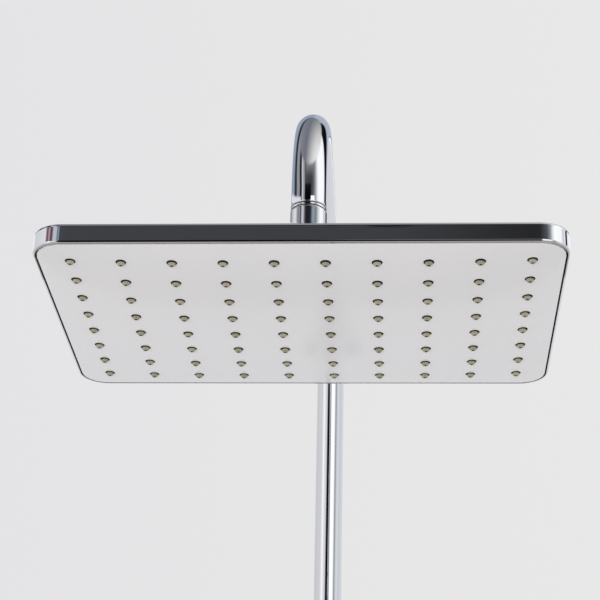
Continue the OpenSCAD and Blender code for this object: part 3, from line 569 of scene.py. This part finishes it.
nozzles, shade_sleeves, outlet_shade_liners = (
    skin(name, [turn(profile, spot, steps=steps) for spot in nozzle_spots], hoop=True)
    for name, profile, steps in (("nozzles", nozzle_profile, 24),
                                 ("nozzle_shade_sleeves", shade_sleeve_profile, 24),
                                 ("nozzle_outlet_shade_liners", outlet_shade_profile, 16)))

# Silicone rubber, moulded and unpainted: a soft grey-khaki that lets a little light through, with
# a satin skin and fine dust-like mottling, drawn 0.8 mm across. From nozzle to nozzle it is a
# little greener or greyer, in patches 35 mm across.
silicone, tree, place = new_material("silicone_khaki")
mottle = add_node(tree, "TexNoise", {"Vector": place, "Scale": 1000 / 0.8, "Detail": 2})
patches = add_node(tree, "TexNoise", {"Vector": place, "Scale": 1000 / 35, "Detail": 1})
batch = lay_over(tree, linear("7E7C63"), linear("A39B86"), (patches, 0.35, 0.65))
tint = add_node(tree, "Mix", {"Factor": mottle, "A": batch, "B": linear("B0A892")},
                data_type="RGBA")
shader = add_node(tree, "BsdfPrincipled", {
    "Base Color": tint, "Roughness": 0.38, "IOR": 1.41, "Subsurface Weight": 0.25,
    "Subsurface Radius": (1, 0.9, 0.6), "Subsurface Scale": 0.0012})
add_node(tree, "OutputMaterial", {"Surface": shader})
fix(mat, "head", "silicone", silicone, "nozzle_mat")
fix(nozzles, "head", "silicone", silicone, "nozzle_mat")

# EPDM rubber, moulded: deep black with a dull bloom, mottled 1.5 mm across.
rubber = moulded("epdm_rubber_black", ("070707", "121213"), 1.5, 3, None, 0.72, 1.5)
# The black sleeves are painted shade in the gap round each nozzle.
fix(shade_sleeves, "head", "rubber", rubber)
# The black outlet liners are painted shade deep in each bore.
fix(outlet_shade_liners, "head", "rubber", rubber)


# ---- Water chamber ----
# Behind the face: a dark moulded water plate that shows only as the shadow gap, its rubber seal,
# and the screws that hold the face to it. The water plate is coloured near black, partly painted
# shade, so that the gap reads black.
def dress(finish, *nodes):
    """Gives CAD nodes that stay as they are their finish."""
    for name in nodes:
        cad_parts[name].data.materials.clear()
        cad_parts[name].data.materials.append(finish)


# Dark grey engineering plastic, glass-filled and moulded: satin, with a fine grain 0.6 mm across.
# Its near-black colour is partly painted shade, darkening the shadow gap round the face plate.
grey_plastic = moulded("glass_filled_nylon_grey_darkened_as_gap_shade", ("131415", "1D1E1F"), 0.6, 3, (0.6, 0.00005),
                       0.5, 1.53)


def metal(name, colour, marks_mm, detail, seen, softness):
    """A metal whose marks, so many mm across, change how sharply it reflects."""
    material, tree, place = new_material(name)
    marks = add_node(tree, "TexNoise", {"Vector": place, "Scale": 1000 / marks_mm,
                                        "Detail": detail})
    softer = add_node(tree, "MapRange", {
        "Value": marks, "From Min": seen[0], "From Max": seen[1],
        "To Min": softness[0], "To Max": softness[1]})
    shader = add_node(tree, "BsdfPrincipled", {
        "Base Color": linear(colour), "Metallic": 1, "Roughness": softer})
    add_node(tree, "OutputMaterial", {"Surface": shader})
    return material


# Stainless steel, cold-formed: pale grey with fine tumbling marks, drawn 0.5 mm across.
stainless = metal("stainless_steel_tumbled", "C6C5C2", 0.5, 3, (0, 1), (0.2, 0.4))
dress(grey_plastic, "water_plate")
dress(rubber, "chamber_seal")
dress(stainless, "chamber_screws")


# ---- Ball joint ----
# A chromed brass ball on a hollow stem, held in the head between two acetal seats by a chromed
# nut, so that the head tilts and turns on it.
def turned_brass(name, corners, place, body, *nodes, sharp=40):
    """Makes a turned piece of chromed brass and fixes it to its body, in place of CAD nodes."""
    piece = skin(name, [turn(corners, place)], hoop=True, sharp=sharp)
    fix(piece, body, "chrome", chromed_brass, *nodes)


# Chromed brass: polished metal under nickel and chrome, a hard, clean, slightly cool mirror; only
# wiping marks, drawn 20 mm across, change how sharply it reflects.
chromed_brass = metal("chromed_brass", "E6E6E8", 20, 4, (0.3, 0.7), (0.005, 0.02))
turned_brass("ball_socket_nut", [
    (18.5, 23.5, 0.5), (18.5, 31.5, 0.6), (17.9, 32.1, 0.3), (17.9, 33.1, 0.3), (18.5, 33.7, 0.6),
    (18.5, 44.0, 1.8), (11.3, 44.0, 0.5), (9.95, 39.7, 0.3), (15.6, 39.7, 0), (15.6, 23.5, 0)],
    head_at, "head", "socket_nut")
ball_z, ball_r, neck_r, stem_bore_r = 34, 11, 6.5, 3.2
ball_arc = [(ball_r * math.cos(math.radians(a)), ball_z + ball_r * math.sin(math.radians(a)), 0)
            for a in range(-72, 54, 6)]
turned_brass("ball_stem_turned", [(stem_bore_r, ball_z - 10.4, 0)] + ball_arc + [
    (neck_r, ball_z + 10.2, 0.8), (neck_r, 55, 0), (9.3, 55, 0.2), (9.3, 58, 0.3),
    (stem_bore_r, 58, 0)], head_at, "arm", "ball_stem")

# White acetal, turned from bar: slick and faintly waxy, with turning rings 0.4 mm apart.
acetal, tree, place = new_material("acetal_white")
rings = add_node(tree, "TexNoise", {"Vector": place, "Scale": 1000 / 0.4, "Detail": 1})
relief = add_node(tree, "Bump", {"Height": rings, "Strength": 0.3, "Distance": 0.00002})
shader = add_node(tree, "BsdfPrincipled", {
    "Base Color": linear("E6E5E0"), "Roughness": 0.3, "IOR": 1.48, "Subsurface Weight": 0.1,
    "Subsurface Scale": 0.002, "Normal": relief})
add_node(tree, "OutputMaterial", {"Surface": shader})
dress(acetal, "ball_cup_liner", "ball_retainer_ring")
dress(rubber, "ball_seal")


# ---- Collar at the arm's end ----
# A chromed nut that draws the ball stem on to the arm, and above it a thin grooved ring with a
# black line laid in each groove, in the rubber finish: painted shade in the grooves. The washer,
# the flow limiter and the insert sit inside them.
collar_top, ring_top, ring_r, groove_r, shade_line_r = 72.7, 76.1, 11.2, 10.4, 11.05
turned_brass("collar_nut_turned", [
    (11.4, 52, 0.9), (11.4, collar_top, 0.35), (9.3, collar_top, 0), (9.3, 55, 0), (6.65, 55, 0),
    (6.65, 52, 0.4)], head_at, "arm", "collar_nut")
turned_brass("collar_ring_grooved", [
    (ring_r, collar_top, 0.1), (ring_r, 72.95, 0.05), (groove_r, 73.0, 0), (groove_r, 73.65, 0),
    (ring_r, 73.7, 0.1), (ring_r, 75.1, 0.1), (groove_r, 75.15, 0), (groove_r, 75.75, 0),
    (ring_r, 75.8, 0.05), (ring_r, ring_top, 0.1), (9.3, ring_top, 0), (9.3, collar_top, 0)],
    head_at, "arm", "collar_ring")
# Black rings laid in the grooves: painted shade where the grooves are dark.
groove_shade_lines = skin("collar_groove_shade_lines", [turn([
    (groove_r, low, 0), (shade_line_r, low, 0.15), (shade_line_r, high, 0.15), (groove_r, high, 0)], head_at)
    for low, high in ((73.0, 73.65), (75.15, 75.75))], hoop=True)
fix(groove_shade_lines, "arm", "rubber", rubber)

# Brass, turned and left bare where water runs: warm yellow with fine tool rings 0.3 mm apart.
brass = metal("brass_turned", "D9B25F", 0.3, 2, (0, 1), (0.22, 0.38))
dress(brass, "arm_insert", "arm_connector")
dress(rubber, "filter_washer", "connector_seals")
dress(grey_plastic, "flow_limiter")


# ---- Gooseneck arm ----
# A chromed brass tube, bent twice on a mandrel: up from the collar in a wide bend over the head,
# level to the wall side, and in a closer bend down into the swivel joint on the riser.
tube_r, tube_wall = 11, 1.2
riser_y, arm_low, arm_foot, arm_top = -65, face_z + ring_top, 53.1, 347
front_bend_r, rear_bend_r = 80, 44
arm_path = [(Vector((0, head_y, arm_low + up)), Vector((0, 0, 1))) for up in (0, 0.3, 0.6)]
for k in range(37):
    a = math.radians(2.5 * k)
    arm_path.append((Vector((0, head_y + front_bend_r * (1 - math.cos(a)),
                             arm_top - front_bend_r * (1 - math.sin(a)))),
                     Vector((0, math.sin(a), math.cos(a)))))
for k in range(1, 8):
    y = head_y + front_bend_r + (riser_y - rear_bend_r - head_y - front_bend_r) * k / 8
    arm_path.append((Vector((0, y, arm_top)), Vector((0, 1, 0))))
for k in range(31):
    a = math.radians(3 * k)
    arm_path.append((Vector((0, riser_y - rear_bend_r * (1 - math.sin(a)),
                             arm_top - rear_bend_r * (1 - math.cos(a)))),
                     Vector((0, math.cos(a), -math.sin(a)))))
arm_path += [(Vector((0, riser_y, arm_foot + up)), Vector((0, 0, -1))) for up in (0.6, 0.3, 0)]
arm_rings = []
for bore in (0, tube_wall):
    for at, (centre, heading) in enumerate(arm_path if bore == 0 else arm_path[::-1]):
        aside, over = Vector((1, 0, 0)), heading.cross(Vector((1, 0, 0)))
        end = bore == 0 and at in (0, len(arm_path) - 1)
        radius = tube_r - bore - (0.25 if end else 0)
        arm_rings.append([centre + radius * (aside * math.cos(a) + over * math.sin(a))
                          for a in (math.tau * k / 128 for k in range(128))])
arm = skin("gooseneck_tube", [arm_rings], hoop=True, sharp=50)
fix(arm, "arm", "chrome", chromed_brass, "arm_tube")


# ---- Swivel joint ----
# The arm's foot turns in a socket soldered to the riser's top, on two rubber rings and a glide
# ring, and a chromed nut holds it down.
riser_at = Matrix.Translation((0, riser_y, 0))
turned_brass("riser_socket_turned", [
    (12.5, 20, 0.6), (12.5, 48, 0.3), (8.6, 48, 0), (8.6, 26, 0), (5.5, 26, 0), (5.5, 8, 0),
    (9.8, 8, 0), (9.8, 20, 0)], riser_at, "column", "riser_socket")
turned_brass("swivel_joint_nut", [
    (14.5, 28, 0.8), (14.5, 31.2, 0.4), (14.0, 31.7, 0.3), (14.0, 32.5, 0.3), (14.5, 33.0, 0.4),
    (14.5, 57.6, 1.5), (11.3, 57.6, 0.3), (11.3, 53.2, 0), (12.5, 53.2, 0), (12.5, 28, 0.3)],
    riser_at, "column", "joint_nut")
dress(acetal, "glide_ring")


# ---- Riser ----
# A straight chromed brass tube from the swivel joint down to the valve, with a brass fitting
# soldered into its foot for the union.
riser_foot, riser_top = -706, 20
turned_brass("riser_tube_drawn", [
    (tube_r, riser_foot, 0.2), (tube_r, riser_top, 0.2), (tube_r - tube_wall, riser_top, 0),
    (tube_r - tube_wall, riser_foot, 0)], riser_at, "column", "riser_tube")
dress(brass, "riser_end_fitting")
dress(rubber, "riser_union_washer")


# ---- Wall bracket ----
# A chromed clamp on a post grips the riser. The post slides into the boss of a base plate that
# is screwed to the wall, a grub screw holds it from below, and a domed cover hides the plate.
def branch(pipe_r, run_r, ease, corners, place, steps=96):
    """Rings of a pipe that grows from a round run with an eased foot, then by its corners."""
    rings = []
    for k in range(7):
        share = k / 6
        ring = []
        for i in range(steps):
            c, s = math.cos(math.tau * i / steps), math.sin(math.tau * i / steps)
            foot_r = pipe_r + ease
            foot = Vector((foot_r * c, foot_r * s, math.sqrt(run_r ** 2 - (foot_r * s) ** 2)))
            joint = Vector((pipe_r * c, pipe_r * s, math.sqrt(run_r ** 2 - (pipe_r * s) ** 2)))
            above = joint + Vector((0, 0, ease))
            ring.append(place @ (foot * (1 - share) ** 2 + joint * 2 * share * (1 - share)
                                 + above * share ** 2))
        rings.append(ring)
    return rings + turn(corners, place, loop=False, steps=steps)


clamp_r, clamp_half, post_r = 15, 13, 7
turned_brass("riser_clamp", [
    (clamp_r, -clamp_half, 1.2), (clamp_r, clamp_half, 1.2), (tube_r, clamp_half, 0.3),
    (tube_r, -clamp_half, 0.3)], riser_at, "column", "bracket_post")
post_at = Matrix(((0, 1, 0, 0), (0, 0, 1, riser_y), (1, 0, 0, 0), (0, 0, 0, 1)))
post = skin("bracket_post_turned", [branch(post_r, clamp_r, 1.8, [
    (post_r, 18.8, 0), (post_r, 42.6, 0.3), (6.6, 43, 0), (5, 43, 0), (5, 58, 0.3), (0, 58, 0)],
    post_at)])
wall_at = Matrix.Rotation(math.radians(-90), 4, "X")
base = skin("bracket_base_and_boss", [turn([
    (24, 0, 0), (24, -5, 0.5), (9, -5, 0.5), (9, -22, 0.7), (5.05, -22, 0.2), (5.05, -7, 0),
    (0, -7, 0)], wall_at, loop=False)])
turned_brass("bracket_cover_domed", [
    (28, 0, 0), (28, -3.2, 2.5), (24, -10, 3), (9.05, -10, 0.25), (9.05, -8.8, 0),
    (23.2, -8.8, 2), (26.8, -3, 1.5), (26.8, 0, 0)], wall_at, "column", "bracket_cover")
fix(post, "column", "chrome", chromed_brass, "bracket_post")
fix(base, "column", "chrome", chromed_brass, "bracket_base")
dress(stainless, "bracket_grub_screw")


# ---- Riser union ----
# A chromed hexagonal nut draws the riser's foot down on to the valve's upper port, over a
# rubber washer. Its corners are chamfered at both ends.
valve_at = Matrix.Translation((0, riser_y, -740))
port_end, union_flat_r, union_low, union_high = 29, 16.28, -6, 8.5


def hexagon_nut(name, pipe_r, place, chamfer=1.5, steps=144):
    """A chamfered hexagonal union nut on a port whose face is at z = 0."""
    corner_r = union_flat_r / math.cos(math.radians(30))
    rings = []
    for end, inward in ((union_low, 1), (union_high, -1)):
        edge, shoulder = [], []
        for k in range(steps):
            angle = math.tau * k / steps
            off = (angle + math.radians(30)) % math.radians(60) - math.radians(30)
            flat = union_flat_r / math.cos(off)
            cut = max(flat - (corner_r - chamfer), 0.02)
            for ring, radius, z in ((edge, flat - cut, end), (shoulder, flat, end + inward * cut)):
                ring.append(place @ Vector((
                    radius * math.cos(angle), radius * math.sin(angle), z)))
        rings += [edge, shoulder] if inward == 1 else [shoulder, edge]
    bore = turn([(pipe_r + 0.15, union_high - 0.3, 0), (pipe_r + 0.15, 5, 0), (13.9, 5, 0),
                 (13.9, union_low + 0.3, 0)], place, loop=False, steps=steps)
    lips = [turn([(pipe_r + 0.6, union_high, 0)], place, loop=False, steps=steps)[0],
            turn([(14.4, union_low, 0)], place, loop=False, steps=steps)[0]]
    return skin(name, [rings + [lips[0]] + bore + [lips[1]]], hoop=True, sharp=25)


port_up = valve_at @ Matrix.Translation((0, 0, port_end))
riser_nut = hexagon_nut("riser_union_nut_hex", tube_r, port_up)
fix(riser_nut, "column", "chrome", chromed_brass, "riser_union_nut")


# ---- Bar valve ----
# A cast and turned brass bar, polished and chromed, with a port on top for the riser, two ports
# behind for the wall unions, and one below for the hose outlet.
valve_r, half_body, port_r, water_r, inlet_x = 22, 93, 13.78, 7, 75
lying = valve_at @ Matrix.Rotation(math.radians(90), 4, "Y")
turned_brass("valve_bar", [
    (15, -half_body, 0.3), (valve_r, -half_body, 0.8), (valve_r, half_body, 0.8),
    (15, half_body, 0.3)], lying, "column", "valve_body")
port_end_profile = [(port_r, 24.0, 0), (port_r, port_end, 0.5), (water_r, port_end, 0.3),
                    (water_r, 12, 0)]
backward = Matrix.Rotation(math.radians(-90), 4, "X")
ports = skin("valve_ports", [
    branch(port_r, valve_r, 1.5, port_end_profile, valve_at @ Matrix.Translation((x, 0, 0)) @ way)
    for x, way in ((0, Matrix()), (0, Matrix.Rotation(math.pi, 4, "X")),
                   (-inlet_x, backward), (inlet_x, backward))])
fix(ports, "column", "chrome", chromed_brass, "valve_body")


def thread(start, turns, root_r, way, crest_r=10.48):
    """Corners of a half-inch pipe thread drawn as ridges a millimetre apart, up or down."""
    corners = []
    for k in range(turns):
        z = start + way * k
        corners += [(crest_r, z, 0), (crest_r, z + way * 0.35, 0), (root_r, z + way * 0.6, 0),
                    (root_r, z + way * 0.75, 0)]
    return corners


turned_brass("hose_outlet_threaded", [
    (water_r, -port_end, 0), (port_r, -port_end, 0.3), (port_r, -33, 0.6)]
    + thread(-33, 12, 9.9, -1) + [(9.6, -45, 0.2), (water_r, -45, 0.4)],
    valve_at, "column", "hose_outlet", sharp=30)


# ---- Wall unions ----
# Two chromed brass unions screw into the pipes in the wall. A hexagonal nut draws the valve's
# port on to each, over a rubber washer, and a domed escutcheon covers the hole in the wall.
union_pipe_r = 9.98
for side, x in (("hot", -inlet_x), ("cold", inlet_x)):
    union_at = valve_at @ Matrix.Translation((x, port_end, 0)) @ backward
    turned_brass(side + "_wall_union_turned", [
        (water_r, 2, 0), (12.98, 2, 0.2), (12.98, 5, 0.2), (union_pipe_r, 5, 0),
        (union_pipe_r, 22, 0), (12.48, 22, 0.6), (12.48, 34, 0.3), (union_pipe_r, 34, 0),
        (union_pipe_r, 36.2, 0)]
        + thread(36.6, 15, 9.85, 1) + [(9.6, 52, 0.3), (water_r, 52, 0.3)],
        union_at, "column", side + "_wall_union", sharp=30)
    turned_brass(side + "_escutcheon_domed", [
        (32, 36, 0), (32, 34.4, 1.0), (26.4, 24, 3.2), (12.6, 24, 0.35), (12.6, 25.2, 0),
        (25.6, 25.2, 2.4), (30.8, 35, 0.5), (30.8, 36, 0)],
        union_at, "column", side + "_escutcheon")
    union_nut = hexagon_nut(side + "_union_nut_hex", union_pipe_r, union_at)
    fix(union_nut, "column", "chrome", chromed_brass, side + "_union_nut")
dress(rubber, "inlet_union_washers")
dress(grey_plastic, "inlet_filters", "check_valves")


# ---- Handles ----
# Two chromed ABS handles on the ends of the bar, each a fluted drum with a snapped-in cap over
# its screw and a printed scale. The right-hand one sets the temperature and has a red safety
# button on a spring in its slot; the left-hand one sets the flow.
handle_low, handle_top, handle_r, cap_r = 93.6, 139.6, 22, 19
cap_seat, screw_seat, web_low, hub_low = 136.6, 132.6, 128.6, 99
hub_r, spindle_r, screw_r, screw_head_r = 8, 4.05, 2.05, 4.6


def fluted_drum(place, flutes=24, depth=0.75, steps=288):
    """Rings of a handle's drum, with shallow flutes that run out before both ends."""
    profile = eased([
        (cap_r, handle_low, 0.3), (handle_r, handle_low, 0.8), (handle_r, handle_top, 1.4),
        (cap_r, handle_top, 0.3), (cap_r, cap_seat, 0), (screw_head_r, cap_seat, 0.3),
        (screw_head_r, screw_seat, 0), (screw_r, screw_seat, 0), (screw_r, web_low, 0),
        (spindle_r, web_low, 0), (spindle_r, hub_low, 0), (hub_r, hub_low, 0.3),
        (hub_r, web_low, 0.5), (cap_r, web_low, 0.5)], loop=True)
    first = next(i for i, (r, z) in enumerate(profile) if z > handle_low + 5)
    band = [handle_low + 4 + k for k in range(35)]
    profile[first:first] = [(handle_r, z) for z in band]
    rings = []
    for radius, z in profile:
        ring = []
        run_in = min(max((z - band[0]) / 3, 0), max((band[-1] - z) / 3, 0), 1)
        cut = depth * math.sin(run_in * math.pi / 2) if abs(radius - handle_r) < 1e-6 else 0
        for k in range(steps):
            angle = math.tau * k / steps
            groove = (0.5 + 0.5 * math.cos(flutes * angle)) ** 1.5
            r = radius - cut * groove
            ring.append(place @ Vector((r * math.cos(angle), r * math.sin(angle), z)))
        rings.append(ring)
    return rings


def oblong(place, *sizes, corner_steps=6):
    """Rings of a closed oblong piece that follows the handle's round.

    Each ring has its length, width, corner radius, and height above the handle's axis."""
    rings = [[place @ Vector((0, 0, sizes[0][3]))]]
    for length, width, radius, height in sizes:
        ring = []
        for quarter, (sx, sy) in enumerate(((1, 1), (-1, 1), (-1, -1), (1, -1))):
            for k in range(corner_steps + 1):
                angle = math.radians(90 * (quarter + k / corner_steps))
                x = sx * (length / 2 - radius) + radius * math.cos(angle)
                y = sy * (width / 2 - radius) + radius * math.sin(angle)
                ring.append(place @ Vector((x, y, math.sqrt(height ** 2 - y ** 2))))
        rings.append(ring)
    return rings + [[place @ Vector((0, 0, sizes[-1][3]))]]


def cut_out(piece, cutter, sharp=35):
    """Cuts one piece out of another, and uses it up; the piece's normals are evened later."""
    hole = piece.modifiers.new("hole", "BOOLEAN")
    hole.object, hole.solver = cutter, "EXACT"
    even = piece.modifiers["flats_stay_flat"]
    even.show_viewport = False
    piece.data = bpy.data.meshes.new_from_object(
        piece.evaluated_get(bpy.context.evaluated_depsgraph_get()))
    piece.data.set_sharp_from_angle(angle=math.radians(sharp))
    even.show_viewport = True
    piece.modifiers.remove(hole)
    bpy.data.objects.remove(cutter)


mirrored_end = valve_at @ Matrix.Rotation(math.radians(-90), 4, "Y")
temperature_drum = skin("temperature_handle_drum", [fluted_drum(lying)], hoop=True, sharp=35)
flow_drum = skin("flow_handle_drum", [fluted_drum(mirrored_end)], hoop=True, sharp=35)
button_x = 113.6
button_at = valve_at @ Matrix.Translation((button_x, 0, 0))
cut_out(temperature_drum, skin("button_slot", [
    oblong(button_at, (14.6, 8.6, 1.6, 14), (14.6, 8.6, 1.6, 26))]))
cap_edge, cap_dip = cap_r - 0.05, handle_top - 0.6
cap_profile = [(0, cap_seat, 0), (cap_edge, cap_seat, 0), (cap_edge, handle_top, 0.35),
               (16, handle_top, 0.2), (15.6, cap_dip, 0.3), (0, cap_dip, 0)]
temperature_cap = skin("temperature_handle_cap", [turn(cap_profile, lying, loop=False)])
flow_cap = skin("flow_handle_cap", [turn(cap_profile, mirrored_end, loop=False)])
fix(temperature_drum, "temperature_handle", "chromed_abs", chromed_abs, "temperature_knob")
fix(temperature_cap, "temperature_handle", "chromed_abs", chromed_abs, "temperature_knob_cap")
fix(flow_drum, "flow_handle", "chromed_abs", chromed_abs, "flow_knob")
fix(flow_cap, "flow_handle", "chromed_abs", chromed_abs, "flow_knob_cap")

# Red ABS, moulded with a light spark finish: satin, its grain drawn 0.5 mm across.
red_abs = moulded("red_abs_satin", ("B3262B",), 0.5, 2, (0.4, 0.00003), 0.35, 1.53)
button = skin("safety_button_moulded", [oblong(
    button_at, (16.2, 7.8, 0.5, 17.6), (16.2, 7.8, 0.5, 18.7), (14, 8, 1.3, 18.75),
    (14, 8, 1.3, 23.3), (13.8, 7.8, 1.2, 23.8), (13.3, 7.3, 1.0, 24.1), (12.6, 6.6, 0.7, 24.2),
    (11, 5, 0.5, 24.2), (7, 1, 0.3, 24.2))])
fix(button, "stop_button", "red_plastic", red_abs, "safety_button")
dress(stainless, "temperature_knob_screw", "flow_knob_screw")
spring_low, spring_top, coil_r, wire_r, turns, per_turn = 8, 17.3, 2.5, 0.3, 5, 16
coil = []
for k in range(turns * per_turn + 1):
    share = k / (turns * per_turn)
    around = math.tau * turns * share
    rise = share - math.sin(math.tau * share) / 8
    centre_z = spring_low + wire_r + (spring_top - spring_low - 2 * wire_r) * rise
    coil.append([button_at @ Vector((
        (coil_r + wire_r * math.cos(a)) * math.cos(around),
        (coil_r + wire_r * math.cos(a)) * math.sin(around),
        centre_z + wire_r * math.sin(a))) for a in (math.tau * n / 10 for n in range(10))])
ends = [[sum(ring, Vector()) / len(ring)] for ring in (coil[0], coil[-1])]
spring = skin("button_spring_coil", [[ends[0]] + coil + [ends[1]]])
fix(spring, "temperature_handle", "stainless", stainless, "button_spring")
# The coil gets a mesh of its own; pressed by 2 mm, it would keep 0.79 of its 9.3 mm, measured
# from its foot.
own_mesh(spring)
dress(acetal, "stop_ring")

# Printing ink, pad-printed on the chrome: thin and satin, with a slightly uneven coat, drawn
# 0.3 mm across. The marks are a scale in steps, a line to set it against, and hot and cold.
ink_top = valve_r + 0.03
for name, colour, body, slot, marks in (
        ("temperature_scale", "26282B", "temperature_handle", "grey_plastic",
         [(95.9, angle, 2.6 if angle == 0 else 1.6, 0.5) for angle in range(-90, 91, 15)]),
        ("flow_scale", "26282B", "flow_handle", "grey_plastic",
         [(-95.9, angle, 2.6 if angle == 0 else 1.6, 0.5) for angle in range(-60, 61, 30)]),
        ("reference_lines", "26282B", "column", "grey_plastic",
         [(-90.4, 0, 2.6, 0.5), (90.4, 0, 2.6, 0.5)]),
        ("hot_mark", "B3262B", "temperature_handle", "red_plastic", [(95.9, 108, 1.8, 1.8)]),
        ("cold_mark", "2D5FA3", "temperature_handle", "grey_plastic", [(95.9, -108, 1.8, 1.8)])):
    ink, tree, place = new_material("printing_ink_" + name)
    coat = add_node(tree, "TexNoise", {"Vector": place, "Scale": 1000 / 0.3, "Detail": 2})
    uneven = add_node(tree, "MapRange", {"Value": coat, "To Min": 0.32, "To Max": 0.5})
    shader = add_node(tree, "BsdfPrincipled", {
        "Base Color": linear(colour), "Roughness": uneven, "IOR": 1.5})
    add_node(tree, "OutputMaterial", {"Surface": shader})
    fix(skin(name, [oblong(
        valve_at @ Matrix.Rotation(math.radians(angle), 4, "X") @ Matrix.Translation((x, 0, 0)),
        (length, width, width / 2 - 0.01, 21.8), (length, width, width / 2 - 0.01, ink_top),
        (length - 0.1, width - 0.1, width / 2 - 0.06, ink_top + 0.01))
        for x, angle, length, width in marks]), body, slot, ink)


# ---- Inside the valve ----
# The cartridges, their brass spindles and gland nuts, and the wax element that answers to the
# water's temperature. They don't show from outside.
dress(grey_plastic, "thermostatic_cartridge", "diverter_cartridge", "diverter_bush")
dress(brass, "wax_element", "thermostat_spindle", "thermostat_gland_nut", "diverter_barrel",
      "diverter_gland_nut")
